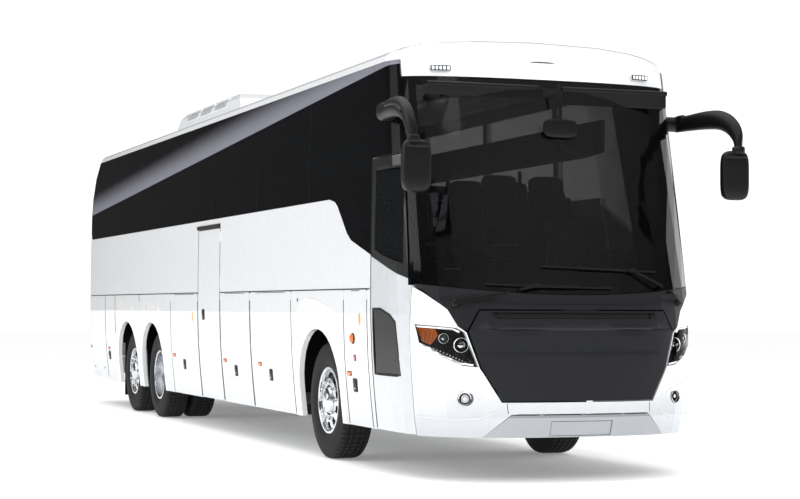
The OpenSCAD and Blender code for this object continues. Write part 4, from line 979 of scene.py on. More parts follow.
def side_fittings():
    """Amber marker lamps, flush handles, the round repeater and small fittings low on each side."""
    for side in (RIGHT, LEFT):
        face = side_name(side)
        wall = skin_of(face + "_wall", *low_side_nodes(side))
        made = {}

        def piece_for(x, kind):
            body = body_at(side, x)
            name = f"{face}_{kind}_{body}"
            if name not in made:
                made[name] = Piece(name, body)
            return made[name]
        for x in (-6.60, -5.325, -1.528, 0.771, 2.109, 4.875):
            place, normal = on_skin(wall, face, x, 0.79)
            axes = axes_at(normal)
            lamp = piece_for(x, "marker_lamps")
            lamp.pad(place + normal * 0.001, axes, (0.112, 0.040, 0.006), trim_rubber(), 8)
            lamp.pad(place + normal * 0.004, axes, (0.100, 0.030, 0.014), amber_lens(), 7)
        for x, z in ((-5.312, 0.695), (-1.043, 0.695), (1.196, 0.695), (2.482, 0.695),
                     (5.013, 0.695), (-0.087, 1.268)):
            if z > 1 and side == LEFT:
                continue
            place, normal = on_skin(wall, face, x, z)
            axes = axes_at(normal)
            handle = piece_for(x, "handles")
            handle.pad(place + normal * 0.001, axes, (0.112, 0.118, 0.006), black_plastic(), 9)
            handle.pad(place + normal * 0.004, axes, (0.088, 0.094, 0.006), dark_recess(), 9)
            handle.pad(place + normal * 0.006 + axes[1] * 0.018, axes, (0.078, 0.034, 0.010),
                       black_plastic(), 6)
            handle.lathe([(0.009, 0.0), (0.009, 0.004), (0.003, 0.005), (0.001, 0.0045)],
                         place + normal * 0.006 - axes[1] * 0.026, axes, chrome(), 16)
        front = 5.009
        place, normal = on_skin(wall, face, front, 1.089)
        repeater = piece_for(front, "repeater")
        repeater.lathe([(0.046, 0.0), (0.046, 0.006), (0.040, 0.010), (0.038, 0.009)], place,
                       axes_at(normal), trim_rubber(), 32)
        repeater.lathe([(0.038, 0.004), (0.037, 0.016), (0.028, 0.024), (0.001, 0.028)], place,
                       axes_at(normal), amber_lens(), 32)
        place, normal = on_skin(wall, face, 5.049, 0.926)
        repeater.pad(place + normal * 0.003, axes_at(normal), (0.052, 0.060, 0.010), red_lens(), 5)
        for x, z in ((-0.587, 1.240), (5.192, 1.254)):
            # Blank oval films
            place, normal = on_skin(wall, face, x, z)
            film = piece_for(x, "blank_oval_film")
            film.pad(place + normal * 0.0006, axes_at(normal), (0.055, 0.105, 0.0016), yellow_film(), 2.2)
        for x, z in ((3.433, 1.419), (-6.40, 0.51), (-5.75, 0.51)):
            # Capped access holes
            place, normal = on_skin(wall, face, x, z)
            plug = piece_for(x, "access_plugs")
            plug.lathe([(0.017, 0.0), (0.016, 0.002), (0.001, 0.0025)], place, axes_at(normal),
                       trim_rubber(), 20)
        for piece in made.values():
            piece.done(smooth=40)


def seam_pieces():
    """Sealed seams between the fixed lower panels, the luggage line and the drip strip."""
    for side in (RIGHT, LEFT):
        face = side_name(side)
        wall = skin_of(face + "_wall")
        piece = Piece(face + "_panel_seams", "body")
        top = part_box(face + "_flap_1")[1][2]
        for x, foot in ((-5.515, 0.40), (-4.857, 1.0), (-3.361, 1.42)):
            seam = path_on(wall, face, [(x, foot), (x, top)], 0.2)
            piece.bar(seam, 0.010, 0.004, trim_rubber(), -0.001)
        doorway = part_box("middle_door")
        runs = [(-6.50, doorway[0][0] - 0.01), (doorway[1][0] + 0.01, 5.45)]
        if side == LEFT:
            runs = [(-6.50, 5.45)]
        for start, stop in runs:
            line = path_on(wall, face, [(start, top + 0.006), (stop, top + 0.006)], 0.3)
            piece.bar(line, 0.011, 0.004, trim_rubber(), -0.001)
        piece.done()
    low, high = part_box("middle_door")
    wall = skin_of("right_wall")
    strip = Piece("middle_door_drip_strip", "body")
    z = high[2] + 0.022
    strip.bar(path_on(wall, "right", [(low[0] - 0.04, z), (high[0] - 0.02, z)], 0.2), 0.042, 0.014,
              trim_rubber(), -0.001)
    strip.done(bevel=0.002)
    nose = skin_of("front_panel")
    lines = Piece("front_panel_seams", "body")
    for side in (RIGHT, LEFT):
        lines.bar(path_on(nose, "nose", [(side * 0.612, 0.616), (side * 0.606, 0.538)], 0.04), 0.006,
                  0.0012, trim_rubber(), -0.0006)
    chin = skin_of("front_bumper")
    edge = [(-0.575, 0.527), (0.575, 0.527)]
    lines.bar(path_on(chin, "nose", edge, 0.05), 0.006, 0.0012, trim_rubber(), -0.0006)
    lines.done()
    gap_seals()


def gap_seals():
    """Rubber seals along the edges of the doors and flaps, which move with them."""
    for side in (RIGHT, LEFT):
        face = side_name(side)
        for node in low_side_nodes(side) + (["front_door"] if side == RIGHT else []):
            low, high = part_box(node)
            skin = skin_of(node)
            piece = Piece(node + "_seal", node)
            foot, head = low[2] + 0.012, high[2] - 0.006
            edges = [low[0] + 0.007] if node == "front_door" else [low[0] + 0.007, high[0] - 0.007]
            if node == "middle_door":
                edges[1] = high[0] - 0.018
            for x in edges:
                piece.bar(path_on(skin, face, [(x, foot), (x, head)], 0.08), 0.011, 0.003,
                          trim_rubber(), -0.0010)
            if node != "front_door":
                piece.bar(path_on(skin, face, [(edges[0], head), (edges[1], head)], 0.2),
                          0.011, 0.003, trim_rubber(), -0.0010)
            piece.done()


def gasket_pieces():
    """Black seals in the seams between the side panes."""
    foot, head = 2.30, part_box("right_windows")[1][2] - 0.004
    for side in (RIGHT, LEFT):
        face = side_name(side)
        skin = skin_of(face + "_windows")
        piece = Piece(face + "_pane_seals", "body")
        for x in (-5.08, -3.31, -1.54, 0.24, 2.01, 3.73):
            places = []
            for i in range(9):
                z = foot + (head - foot) * i / 8
                place, normal = on_skin(skin, face, x - 0.02, z)
                places.append((Vector((x, place.y, z)), normal))
            piece.bar(places, 0.011, 0.004, trim_rubber(), -0.0045)
        piece.done()


def front_door_pieces():
    """Two window panes of the front door, each in a rubber seal."""
    low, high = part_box("front_door")
    skin = skin_of("front_door")
    x0, x1 = low[0], high[0]
    upper = [(x0 + 0.095, 1.815), (x0 + 0.295, 1.760), (x1 - 0.115, 1.690), (x1 - 0.20, 2.480),
             (x0 + 0.095, 2.480)]
    lower = [(x0 + 0.06, 0.81), (x0 + 0.65, 0.81), (x0 + 0.57, 1.235), (x0 + 0.47, 1.29),
             (x0 + 0.24, 1.34), (x0 + 0.06, 1.34)]
    glass = Piece("front_door_glass", "front_door")
    for outline, colour in ((upper, door_glass()), (lower, side_glass())):
        centre = sum((Vector(p) for p in outline), Vector((0, 0))) / len(outline)
        grown = [tuple(centre + (Vector(p) - centre) * 1.012) for p in outline]
        places = flat_fit(skin, "right", grown)
        glass.loft([[p + n * 0.0015 for p, n in places], [p - n * 0.006 for p, n in places]], colour)
    glass.done()
    seal = Piece("front_door_seals", "front_door")
    for outline in (upper, lower):
        seal.bar(flat_fit(skin, "right", outline, 0.12), 0.022, 0.007, trim_rubber(), -0.002, True)
    seal.done()


def flat_fit(skin, face, outline, step=None):
    """Places at an outline's corners, or each step along it, just off the surface beside them."""
    first, second = FACES[face][:2]
    centre = sum((Vector(p) for p in outline), Vector((0, 0))) / len(outline)
    places = []
    for i, corner in enumerate(outline):
        following = outline[(i + 1) % len(outline)]
        count = 1 if step is None else max(1, round((Vector(following) - Vector(corner)).length / step))
        for j in range(count):
            spot = Vector(corner).lerp(Vector(following), j / count)
            beside = spot + (spot - centre).normalized() * 0.03
            place, normal = on_skin(skin, face, beside.x, beside.y)
            place = place.copy()
            place[first] = spot.x
            place[second] = spot.y
            places.append((place, normal))
    return places


def roof_pieces():
    """Marker lamps over the windscreen, louvres on the air conditioner and roof hatch lids."""
    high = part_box("air_conditioner")[1]
    lamps = Piece("roof_marker_lamps", "body")
    roof = skin_of("roof")
    for side in (RIGHT, LEFT):
        place, normal = on_skin(roof, "nose", side * 0.885, 3.275)
        axes = axes_at(Vector((normal.x, normal.y, 0)))
        lamps.pad(place, axes, (0.18, 0.058, 0.07), plate_enamel(), 5)
        lamps.pad(place + axes[2] * 0.031, axes, (0.166, 0.044, 0.012), hatch_plastic(), 7)
        for i in range(5):
            lamps.pad(place + axes[2] * 0.035 + axes[0] * ((i - 2) * 0.031), axes, (0.022, 0.030, 0.012),
                      white_lens(), 5)
    lamps.done(smooth=40)
    cover = skin_of("air_conditioner")
    louvres = Piece("air_conditioner_louvres", "body")
    for side in (RIGHT, LEFT):
        for middle in (-1.95, -1.30, -0.65):
            for i in range(5):
                z = high[2] - 0.145 + 0.017 * i
                run = path_on(cover, side_name(side), [(middle - 0.25, z), (middle + 0.25, z)], 0.1)
                louvres.bar(run, 0.008, 0.006, silver_lacquer(), -0.001)
            frame_run = path_on(cover, side_name(side), [(middle - 0.27, high[2] - 0.16),
                                (middle + 0.27, high[2] - 0.16), (middle + 0.27, high[2] - 0.062),
                                (middle - 0.27, high[2] - 0.062)], 0.1, closed=True)
            louvres.bar(frame_run, 0.012, 0.008, body_lacquer(), -0.001, True)
    for x in (-2.05, -1.1):
        for radius in (0.22, 0.16, 0.10):
            place, normal = on_skin(cover, "top", x, 0.0)
            louvres.lathe([(radius, -0.002), (radius, 0.004), (radius - 0.012, 0.006),
                           (radius - 0.014, -0.002)], place - UP * 0.002,
                          (Vector((1, 0, 0)), Vector((0, 1, 0)), UP), dark_recess(), 40, capped=False)
    louvres.done()
    lids = Piece("roof_hatch_seams", "body")
    for x in (1.9, -5.0):
        for dx in (-0.2, 0.0, 0.2):
            place, normal = on_skin(cover, "top", x + dx, 0.0)
            lids.pad(place + UP * 0.001, (Vector((1, 0, 0)), Vector((0, 1, 0)), UP), (0.03, 0.5, 0.006),
                     body_lacquer(), 8)
        run = path_on(cover, "top", [(x - 0.31, -0.31), (x + 0.31, -0.31), (x + 0.31, 0.31),
                      (x - 0.31, 0.31)], 0.15, closed=True)
        lids.bar(run, 0.010, 0.003, trim_rubber(), -0.001, True)
    lids.done()


def tail_pieces():
    """Round tail lamps, engine door grille and handle, rear plate, high brake lamp and seams."""
    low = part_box("engine_door")[0]
    door = skin_of("engine_door")
    panel = skin_of("rear_panel")
    grille = Piece("engine_door_grille", "engine_door")
    for i in range(9):
        z = low[2] + 0.62 + i * 0.048
        for side in (RIGHT, LEFT):
            run = path_on(door, "tail", [(side * 0.30, z), (side * 0.82, z)], 0.08)
            grille.bar(run, 0.030, 0.003, dark_recess(), -0.001)
            grille.bar([(p + UP * 0.012, n) for p, n in run], 0.012, 0.0025, black_plastic(), 0.0)
    place, normal = on_skin(door, "tail", 0.0, low[2] + 0.08)
    grille.pad(place - normal * 0.006, axes_at(normal), (0.24, 0.05, 0.014), black_plastic(), 5)
    grille.done()
    plate = Piece("rear_number_plate", "engine_door")
    place, normal = on_skin(door, "tail", 0.0, low[2] + 0.27)
    plate.pad(place - normal * 0.004, axes_at(normal), (0.54, 0.13, 0.010), black_plastic(), 14)
    plate.pad(place - normal * 0.0005, axes_at(normal), (0.515, 0.108, 0.006), plate_enamel(), 14)
    for side in (RIGHT, LEFT):
        plate.pad(place - normal * 0.005 + Vector((0, side * 0.12, 0.095)), axes_at(normal),
                  (0.07, 0.025, 0.014), white_lens(), 5)
    plate.done()
    lenses = skin_of("tail_lamps")
    for side in (RIGHT, LEFT):
        lamp = Piece(side_name(side) + "_tail_lamp_units", "body")
        for i, colour in enumerate((red_lens, red_lens, amber_lens, white_lens)):
            place, normal = on_skin(lenses, "tail", side * (1.066 + 0.003 * i), 1.40 - 0.135 * i)
            axes = axes_at(Vector((-1, 0, 0)))
            lamp.lathe([(0.055, -0.012), (0.055, 0.006), (0.050, 0.010), (0.047, 0.004)], place, axes,
                       chrome(), 32, capped=False)
            lamp.lathe([(0.047, -0.01), (0.046, 0.008), (0.034, 0.014), (0.001, 0.017)], place, axes,
                       colour(), 32)
        lamp.done()
    strip = Piece("high_brake_lamp", "body")
    run = path_on(panel, "tail", [(-0.35, 3.20), (0.35, 3.20)], 0.1)
    strip.bar(run, 0.035, 0.010, red_lens(), -0.001)
    strip.done(bevel=0.002)
    seams = Piece("rear_panel_seams", "body")
    for z in (0.60, 2.05):
        seams.bar(path_on(panel, "tail", [(-1.10, z), (1.10, z)], 0.12), 0.006, 0.0012, trim_rubber(),
                  -0.0006)
    seams.done()


def seat_boxes():
    """The lowest and highest corner of each seat of the frame."""
    mesh = bmesh.new()
    mesh.from_mesh(frame["nodes"]["seats"].data)
    bmesh.ops.remove_doubles(mesh, verts=mesh.verts[:], dist=1e-5)
    left = set(mesh.verts)
    boxes = []
    while left:
        pending = [left.pop()]
        found = []
        while pending:
            vert = pending.pop()
            found.append(vert.co.copy())
            for edge in vert.link_edges:
                other = edge.other_vert(vert)
                if other in left:
                    left.remove(other)
                    pending.append(other)
        low = Vector([min(p[i] for p in found) for i in range(3)])
        high = Vector([max(p[i] for p in found) for i in range(3)])
        boxes.append((low, high))
    mesh.free()
    boxes.sort(key=lambda pair: tuple(round(c, 3) for c in pair[0]))
    return boxes


def soft_block(piece, centre, size, lean, material, crown=0.5):
    """A crowned cushion: a fine block pulled in at its corners, leaning back by lean."""
    turn = Matrix.Rotation(lean, 3, "Y")
    axes = tuple(turn @ axis for axis in (Vector((1, 0, 0)), Vector((0, 1, 0)), Vector((0, 0, 1))))
    piece.pad(centre, axes, size, material, 3.4 + crown, 20, 9)


def seat_pieces():
    """Padded passenger seats with wings and head cloths, and the driver's seat."""
    boxes = seat_boxes()
    driver = max(boxes, key=lambda pair: pair[0].x)
    rows = Piece("passenger_seats", "body")
    frames = Piece("passenger_seat_frames", "body")
    helm = Piece("driver_seat", "body")
    for low, high in boxes:
        piece = helm if low == driver[0] else rows
        y = (low.y + high.y) / 2
        wide = high.y - low.y
        back = low.x + 0.10
        z = low.z
        soft_block(piece, Vector((back + 0.33, y, z + 0.415)), (0.46, wide, 0.13), 0.08, seat_cloth())
        soft_block(piece, Vector((back + 0.125, y, z + 0.70)), (0.11, wide * 0.98, 0.56), -0.17,
                   seat_cloth())
        soft_block(piece, Vector((back + 0.03, y, z + 1.03)), (0.10, wide * 0.80, 0.19), -0.17,
                   seat_cloth())
        for edge in (-1, 1):
            soft_block(piece, Vector((back + 0.150, y + edge * wide * 0.42, z + 0.68)),
                       (0.13, wide * 0.13, 0.50), -0.17, seat_cloth())
            piece_arm = helm if piece is helm else frames
            soft_block(piece_arm, Vector((back + 0.30, y + edge * wide * 0.47, z + 0.60)),
                       (0.26, 0.035, 0.045), 0.0, black_plastic())
        stand = helm if piece is helm else frames
        stand.pad(Vector((back + 0.30, y, z + 0.17)), (Vector((1, 0, 0)), Vector((0, 1, 0)), UP),
                  (0.16, wide * 0.72, 0.34), chassis_paint(), 8, 12, 5)
        stand.pad(Vector((back + 0.085, y, z + 0.72)),
                  tuple(Matrix.Rotation(-0.17, 3, "Y") @ a for a in (Vector((1, 0, 0)),
                        Vector((0, 1, 0)), UP)), (0.02, wide * 0.93, 0.58), black_plastic(), 8, 16, 5)
    rows.done(smooth=60, replaces=("seats",), slot="seat_fabric")
    frames.done(smooth=50)
    helm.done(smooth=60)


def cabin_pieces():
    """Instruments, interior mirror, sun blind, driver's partition and grab rails."""
    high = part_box("dashboard")[1]
    wheel_low, wheel_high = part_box("steering_wheel")
    middle = [(wheel_low[i] + wheel_high[i]) / 2 for i in range(3)]
    piece = Piece("driver_instruments", "body")
    tilt = math.radians(25)
    axes = (Vector((0, -1, 0)), Vector((math.sin(tilt), 0, math.cos(tilt))),
            Vector((-math.cos(tilt), 0, math.sin(tilt))))
    board = Vector((high[0] - 0.42, middle[1], high[2] + 0.03))
    piece.pad(board, axes, (0.62, 0.20, 0.10), black_plastic(), 5, 28, 9)
    for y, radius in ((-0.13, 0.062), (0.13, 0.062)):
        piece.lathe([(radius, 0.0), (radius, 0.008), (radius - 0.006, 0.010), (radius - 0.008, 0.004),
                     (0.002, 0.003)], board + axes[0] * y + axes[2] * 0.046, axes, chrome(), 28)
    piece.pad(board + axes[2] * 0.05, axes, (0.13, 0.09, 0.008), dark_recess(), 8)
    piece.pad(Vector((high[0] - 0.45, 0.05, high[2] - 0.06)), axes, (0.30, 0.17, 0.05), black_plastic(),
              6, 24, 7)
    # Strip of pale trim along the top of the board
    piece.pad(Vector((6.42, -0.93, 1.655)), (Vector((0, 1, 0)), Vector((0, 0, 1)),
              Vector((1, 0, 0))), (0.13, 0.008, 0.03), yellow_film(), 6)
    piece.done(smooth=45)
    mirror = Piece("interior_mirror", "body")
    spot = Vector((6.30, 0.05, 2.80))
    plain = (Vector((0, 1, 0)), UP, Vector((1, 0, 0)))
    mirror.pad(spot, plain, (0.30, 0.15, 0.04), black_plastic(), 4, 28, 9)
    mirror.pad(spot - Vector((0.020, 0, 0)), plain, (0.27, 0.125, 0.006), mirror_silver(), 5)
    mirror.tube([spot + Vector((0.01, 0, 0.05)), spot + Vector((0.01, 0, 0.2)),
                 spot + Vector((-0.03, 0, 0.36))], [0.012, 0.011, 0.012], black_plastic(), 12)
    mirror.done(smooth=45)
    blind = Piece("sun_blind", "body")
    blind.pad(Vector((6.14, 0.62, 3.07)), plain, (0.95, 0.12, 0.012), dark_recess(), 10, 28, 7)
    blind.pad(Vector((6.14, -0.55, 3.09)), plain, (1.05, 0.08, 0.012), dark_recess(), 10, 28, 7)
    for y in (0.62, -0.55):
        rod = [Vector((6.13, y - 0.48, 3.14)), Vector((6.13, y, 3.14)), Vector((6.13, y + 0.48, 3.14))]
        blind.tube(rod, [0.022] * 3, black_plastic(), 14)
    blind.done(smooth=45)
    rail = Piece("cabin_grab_rails", "body")
    for y in (-0.38, 0.30):
        post = [Vector((4.93, y, 1.00)), Vector((4.93, y, 1.5)), Vector((4.93, y, 2.55))]
        rail.tube(post, [0.017] * 3, black_plastic(), 14)
    for y0, y1 in ((0.32, 1.13), (-1.13, -0.62)):
        rail.pad(Vector((4.93, (y0 + y1) / 2, 1.82)), plain, (y1 - y0, 0.70, 0.03), black_plastic(), 12)
    rail.done(smooth=45)
    rim = Piece("steering_wheel_grip", "steering_wheel")
    normal = Vector((-0.573576, 0, 0.819152))
    centre = Vector(middle)
    side = Vector((0, 1, 0))
    ahead = side.cross(normal).normalized()
    reach = (wheel_high[1] - wheel_low[1]) / 2 - 0.016
    loop = []
    for k in range(64):
        t = 2 * math.pi * k / 64
        way = side * math.cos(t) + ahead * math.sin(t)
        loop.append([centre + normal * 0.014 + way * (reach + 0.0155 * math.cos(s))
                     + normal * (0.0155 * math.sin(s)) for s in (2 * math.pi * j / 14 for j in range(14))])
    rim.loft(loop, black_plastic(), round_path=True)
    rim.pad(centre + normal * 0.018, (side, ahead, normal), (0.15, 0.11, 0.035), hatch_plastic(), 4)
    rim.done(smooth=60)


def plate_pieces():
    """The blank front plate in its recess."""
    skin = skin_of("front_bumper")
    piece = Piece("front_number_plate", "body")
    outline = [(-0.255, 0.366), (0.255, 0.366), (0.255, 0.474), (-0.255, 0.474)]
    draped(piece, outline, skin, "nose", 0.0008, 0.005, 0.06, silver_lacquer())
    piece.done(smooth=40)


def bumper_creases():
    """Raised folds on the bumper corners beside the fog lamps."""
    skin = skin_of("front_panel")
    for side in (RIGHT, LEFT):
        piece = Piece(side_name(side) + "_bumper_fold", "body")
        fold = path_on(skin, "nose", [(side * 1.115, 0.775), (side * 1.05, 0.765), (side * 0.97, 0.735),
                       (side * 0.85, 0.70), (side * 0.80, 0.655)], 0.05)
        piece.bar(fold, 0.034, 0.008, body_lacquer(), -0.0015)
        lower = path_on(skin, "nose", [(side * 1.17, 0.50), (side * 1.0, 0.485), (side * 0.82, 0.50),
                        (side * 0.70, 0.545)], 0.05)
        piece.bar(lower, 0.030, 0.007, body_lacquer(), -0.0015)
        piece.done(smooth=60, bevel=0.0015)


def paint_frame():
    """Gives every CAD node its finish, smooth shading and weighted normals."""
    for make, names in PAINTED.items():
        for name in names:
            if name in frame["nodes"]:
                set_finish(frame["nodes"][name], make())
    set_finish(frame["nodes"]["front_door"], door_lacquer())
    for name, node in frame["nodes"].items():
        if not node.data.materials or node.data.materials[0] is None:
            set_finish(node, black_plastic())
        node.data.shade_smooth()
        node.data.set_sharp_from_angle(angle=math.radians(24))
        weigh = node.modifiers.new("Weighted normals", "WEIGHTED_NORMAL")
        weigh.keep_sharp = True


def set_finish(node, material):
    slots = len(node.data.materials)
    node.data.materials.clear()
    for _ in range(max(1, slots)):
        node.data.materials.append(material)


# ---- Stage ----

def stage_pieces():
    """A pale floor, a bright studio world, soft lamps and the camera."""
    mesh = bmesh.new()
    bmesh.ops.create_grid(mesh, x_segments=8, y_segments=8, size=90)
    data = bpy.data.meshes.new("studio_floor")
    mesh.to_mesh(data)
    mesh.free()
    floor = bpy.data.objects.new("studio_floor", data)
    bpy.context.scene.collection.objects.link(floor)
    floor.location.z = -0.001
    # Matt studio paint, rolled: even white
    data.materials.append(finish("rolled_studio_paint", ("FFFFFF", "FCFCFC"), 0.5, 0.0002, (0.85, 0.95),
                                 {"Emission Color": linear("FFFFFF"), "Emission Strength": 0.22}))
    world = bpy.context.scene.world or bpy.data.worlds.new("studio")
    bpy.context.scene.world = world
    bpy.context.scene.view_settings.view_transform = "Standard"
    world.use_nodes = True
    tree = world.node_tree
    tree.nodes.clear()
    coord = add(tree, "ShaderNodeTexCoord")
    parts = add(tree, "ShaderNodeSeparateXYZ", links={0: coord.outputs["Generated"]})
    # What gloss sees: dim at the horizon, bright overhead
    height = add(tree, "ShaderNodeMapRange", {"From Min": 0.25, "From Max": 0.75, "To Min": 0.06,
                 "To Max": 0.6}, {"Value": parts.outputs["Z"]}, interpolation_type="SMOOTHSTEP")
    rays = add(tree, "ShaderNodeLightPath")
    glossy = add(tree, "ShaderNodeMix", {2: 0.8}, {0: rays.outputs["Is Glossy Ray"],
                 3: height.outputs["Result"]}, data_type="FLOAT")
    seen = add(tree, "ShaderNodeMix", {3: 1.2}, {0: rays.outputs["Is Camera Ray"],
               2: glossy.outputs[0]}, data_type="FLOAT")
    sky = add(tree, "ShaderNodeBackground", {"Color": linear("FFFFFF")},
              {"Strength": seen.outputs[0]})
    add(tree, "ShaderNodeOutputWorld", links={"Surface": sky.outputs["Background"]})
    for name, place, size, power, aim in (
            ("ceiling_softbox", (2, -3, 11), (22, 12), 1000, (0, 0, 1)),
            ("front_softbox", (16, -1, 8), (8, 5), 420, (5, 0, 1.5)),
            ("side_softbox", (1, -15, 7), (16, 5), 520, (0, 0, 1)),
            ("left_softbox", (2.0, 12.5, 3.6), (9, 6), 300, (4, 0, 2.0))):
        lamp = bpy.data.lights.new(name, "AREA")
        lamp.shape = "RECTANGLE"
        lamp.size, lamp.size_y = size
        lamp.energy = power
        light = bpy.data.objects.new(name, lamp)
        light.location = place
        light.visible_glossy = name != "front_softbox"
        light.rotation_euler = (Vector(aim) - Vector(place)).to_track_quat("-Z", "Y").to_euler()
        bpy.context.scene.collection.objects.link(light)
    camera_piece()


def camera_piece():
    sizes = bpy.context.scene.coach_sizes
    data = bpy.data.cameras.new("camera")
    data.lens = sizes.camera_lens
    data.sensor_width = 36
    data.shift_x = -0.0005
    data.shift_y = 0.0166
    data.clip_end = 400
    camera = bpy.data.objects.new("camera", data)
    yaw, pitch, roll = (math.radians(a) for a in (159.838, 1.369, 0.229))
    ahead = Vector((math.cos(pitch) * math.cos(yaw), math.cos(pitch) * math.sin(yaw), math.sin(pitch)))
    level = ahead.cross(UP).normalized()
    upright = level.cross(ahead)
    right = level * math.cos(roll) + upright * math.sin(roll)
    top = upright * math.cos(roll) - level * math.sin(roll)
    camera.matrix_world = Matrix.Translation((20.14, -6.399, 1.348)) @ Matrix(
        (right, top, -ahead)).transposed().to_4x4()
    bpy.context.scene.collection.objects.link(camera)
    bpy.context.scene.camera = camera


# ---- Add-on ----

class CoachSizes(bpy.types.PropertyGroup):
    groove_depth: FloatProperty(name="Groove depth", description="Depth of the tyres' grooves",
                                default=0.013, min=0.006, max=0.018, unit="LENGTH")
    tread_blocks: IntProperty(name="Tread blocks", description="Blocks around one tyre", default=58,
                              min=40, max=70)
    wheel_nuts: IntProperty(name="Wheel nuts", description="Nuts and hand holes of a wheel", default=10,
                            min=8, max=10)
    bolt_circle: FloatProperty(name="Bolt circle", description="Diameter of the circle of nuts",
                               default=0.335, min=0.33, max=0.34, unit="LENGTH")
    camera_lens: FloatProperty(name="Lens", description="Focal length of the camera, in millimetres",
                               default=85.07, min=20, max=200)


class CoachColours(bpy.types.PropertyGroup):
    body: FloatVectorProperty(name="Body", description="Colour of the body's lacquer",
                              default=linear("F3F4F6")[:3], subtype="COLOR", min=0, max=1)


class COACH_OT_paint_frame(bpy.types.Operator):
    """Gives every CAD node its finish, smooth shading and weighted normals."""
    bl_idname = "coach.paint_frame"
    bl_label = "Finishes of the frame"
    bl_options = {"REGISTER", "UNDO"}

    def execute(self, context):
        paint_frame()
        return {"FINISHED"}


class COACH_OT_tyres(bpy.types.Operator):
    """Each tyre node becomes carcasses with ribs, grooves and sipes of real depth."""
    bl_idname = "coach.tyres"
    bl_label = "Tyres"
    bl_options = {"REGISTER", "UNDO"}

    def execute(self, context):
        tyre_pieces()
        return {"FINISHED"}


class COACH_OT_rims(bpy.types.Operator):
    """Polished rims with hand holes, nut caps and hubs stand for the plain rims."""
    bl_idname = "coach.rims"
    bl_label = "Wheels"
    bl_options = {"REGISTER", "UNDO"}

    def execute(self, context):
        rim_pieces()
        return {"FINISHED"}


class COACH_OT_mirrors(bpy.types.Operator):
    """Two hanging mirrors, each a swept arm with a slot and a rounded head."""
    bl_idname = "coach.mirrors"
    bl_label = "Hanging mirrors"
    bl_options = {"REGISTER", "UNDO"}

    def execute(self, context):
        mirror_pieces()
        return {"FINISHED"}


class COACH_OT_wipers(bpy.types.Operator):
    """Two wipers: spindle cap, sprung arm, claw and rubber blade, lying on the windscreen."""
    bl_idname = "coach.wipers"
    bl_label = "Wipers"
    bl_options = {"REGISTER", "UNDO"}

    def execute(self, context):
        wiper_pieces()
        return {"FINISHED"}


class COACH_OT_headlamps(bpy.types.Operator):
    """Projectors, light guides, indicators and clear covers in the two front corners."""
    bl_idname = "coach.headlamps"
    bl_label = "Headlamps"
    bl_options = {"REGISTER", "UNDO"}

    def execute(self, context):
        headlamp_pieces()
        return {"FINISHED"}


class COACH_OT_hatch(bpy.types.Operator):
    """The front hatch with its slot, groove and crease in relief, blank of any maker's sign."""
    bl_idname = "coach.hatch"
    bl_label = "Front hatch"
    bl_options = {"REGISTER", "UNDO"}

    def execute(self, context):
        hatch_piece()
        return {"FINISHED"}


class COACH_OT_side_fittings(bpy.types.Operator):
    """Amber marker lamps, flush handles, the round repeater and small fittings low on each side."""
    bl_idname = "coach.side_fittings"
    bl_label = "Side fittings"
    bl_options = {"REGISTER", "UNDO"}

    def execute(self, context):
        side_fittings()
        return {"FINISHED"}


class COACH_OT_seams(bpy.types.Operator):
    """Sealed seams between the fixed lower panels, the luggage line and the drip strip."""
    bl_idname = "coach.seams"
    bl_label = "Panel seams"
    bl_options = {"REGISTER", "UNDO"}

    def execute(self, context):
        seam_pieces()
        return {"FINISHED"}


class COACH_OT_gaskets(bpy.types.Operator):
    """Black seals in the seams between the side panes."""
    bl_idname = "coach.gaskets"
    bl_label = "Pane seals"
    bl_options = {"REGISTER", "UNDO"}

    def execute(self, context):
        gasket_pieces()
        return {"FINISHED"}


class COACH_OT_front_door(bpy.types.Operator):
    """Two window panes of the front door, each in a rubber seal."""
    bl_idname = "coach.front_door"
    bl_label = "Front door glass"
    bl_options = {"REGISTER", "UNDO"}

    def execute(self, context):
        front_door_pieces()
        return {"FINISHED"}


class COACH_OT_roof(bpy.types.Operator):
    """Marker lamps over the windscreen, louvres on the air conditioner and roof hatch lids."""
    bl_idname = "coach.roof"
    bl_label = "Roof fittings"
    bl_options = {"REGISTER", "UNDO"}

    def execute(self, context):
        roof_pieces()
        return {"FINISHED"}


class COACH_OT_tail(bpy.types.Operator):
    """Round tail lamps, engine door grille and handle, rear plate, high brake lamp and seams."""
    bl_idname = "coach.tail"
    bl_label = "Tail fittings"
    bl_options = {"REGISTER", "UNDO"}

    def execute(self, context):
        tail_pieces()
        return {"FINISHED"}


class COACH_OT_seats(bpy.types.Operator):
    """Padded passenger seats with wings and head cloths, and the driver's seat."""
    bl_idname = "coach.seats"
    bl_label = "Seats"
    bl_options = {"REGISTER", "UNDO"}

    def execute(self, context):
        seat_pieces()
        return {"FINISHED"}


class COACH_OT_cabin(bpy.types.Operator):
    """Instruments, interior mirror, sun blind, driver's partition and grab rails."""
    bl_idname = "coach.cabin"
    bl_label = "Driver's place"
    bl_options = {"REGISTER", "UNDO"}

    def execute(self, context):
        cabin_pieces()
        return {"FINISHED"}


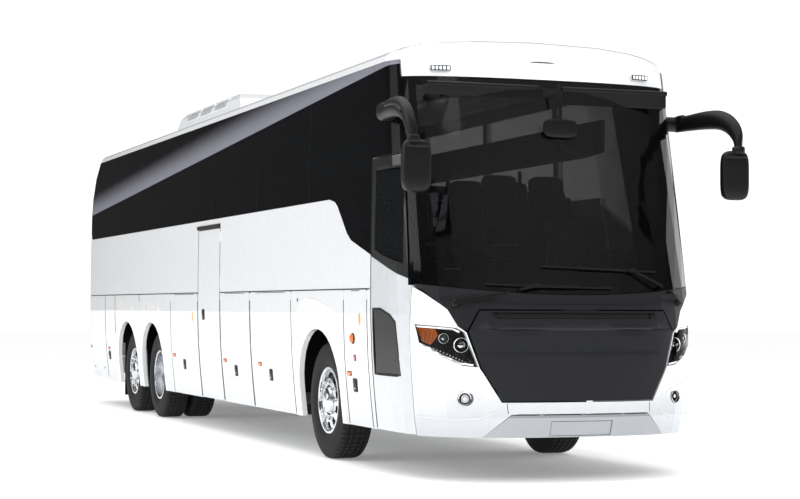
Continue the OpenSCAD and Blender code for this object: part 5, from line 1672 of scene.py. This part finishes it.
class COACH_OT_plates(bpy.types.Operator):
    """The blank front plate in its recess."""
    bl_idname = "coach.plates"
    bl_label = "Front plate"
    bl_options = {"REGISTER", "UNDO"}

    def execute(self, context):
        plate_pieces()
        return {"FINISHED"}


class COACH_OT_folds(bpy.types.Operator):
    """Raised folds on the bumper corners beside the fog lamps."""
    bl_idname = "coach.folds"
    bl_label = "Bumper folds"
    bl_options = {"REGISTER", "UNDO"}

    def execute(self, context):
        bumper_creases()
        return {"FINISHED"}


class COACH_OT_stage(bpy.types.Operator):
    """A pale floor, a bright studio world, soft lamps and the camera."""
    bl_idname = "coach.stage"
    bl_label = "Studio"
    bl_options = {"REGISTER", "UNDO"}

    def execute(self, context):
        stage_pieces()
        return {"FINISHED"}


STEPS = (COACH_OT_paint_frame, COACH_OT_tyres, COACH_OT_rims, COACH_OT_mirrors, COACH_OT_wipers,
         COACH_OT_headlamps, COACH_OT_hatch, COACH_OT_side_fittings, COACH_OT_seams,
         COACH_OT_gaskets, COACH_OT_front_door, COACH_OT_roof, COACH_OT_tail, COACH_OT_seats,
         COACH_OT_cabin, COACH_OT_plates, COACH_OT_folds, COACH_OT_stage)


class COACH_PT_panel(bpy.types.Panel):
    """Lists the coach's pieces in the sidebar."""
    bl_label = "Coach"
    bl_idname = "COACH_PT_panel"
    bl_space_type = "VIEW_3D"
    bl_region_type = "UI"
    bl_category = "Coach"

    def draw(self, context):
        layout = self.layout
        for group in (context.scene.coach_sizes, context.scene.coach_colours):
            for key in group.__annotations__:
                layout.prop(group, key)
        for made in STEPS:
            layout.operator(made.bl_idname)


CLASSES = (CoachSizes, CoachColours, *STEPS, COACH_PT_panel)


def register():
    for each in CLASSES:
        bpy.utils.register_class(each)
    bpy.types.Scene.coach_sizes = PointerProperty(type=CoachSizes)
    bpy.types.Scene.coach_colours = PointerProperty(type=CoachColours)


def unregister():
    del bpy.types.Scene.coach_colours
    del bpy.types.Scene.coach_sizes
    for each in reversed(CLASSES):
        bpy.utils.unregister_class(each)


def main():
    register()
    for made in STEPS:
        getattr(bpy.ops.coach, made.bl_idname.split(".")[1])()


if __name__ == "__main__":
    main()
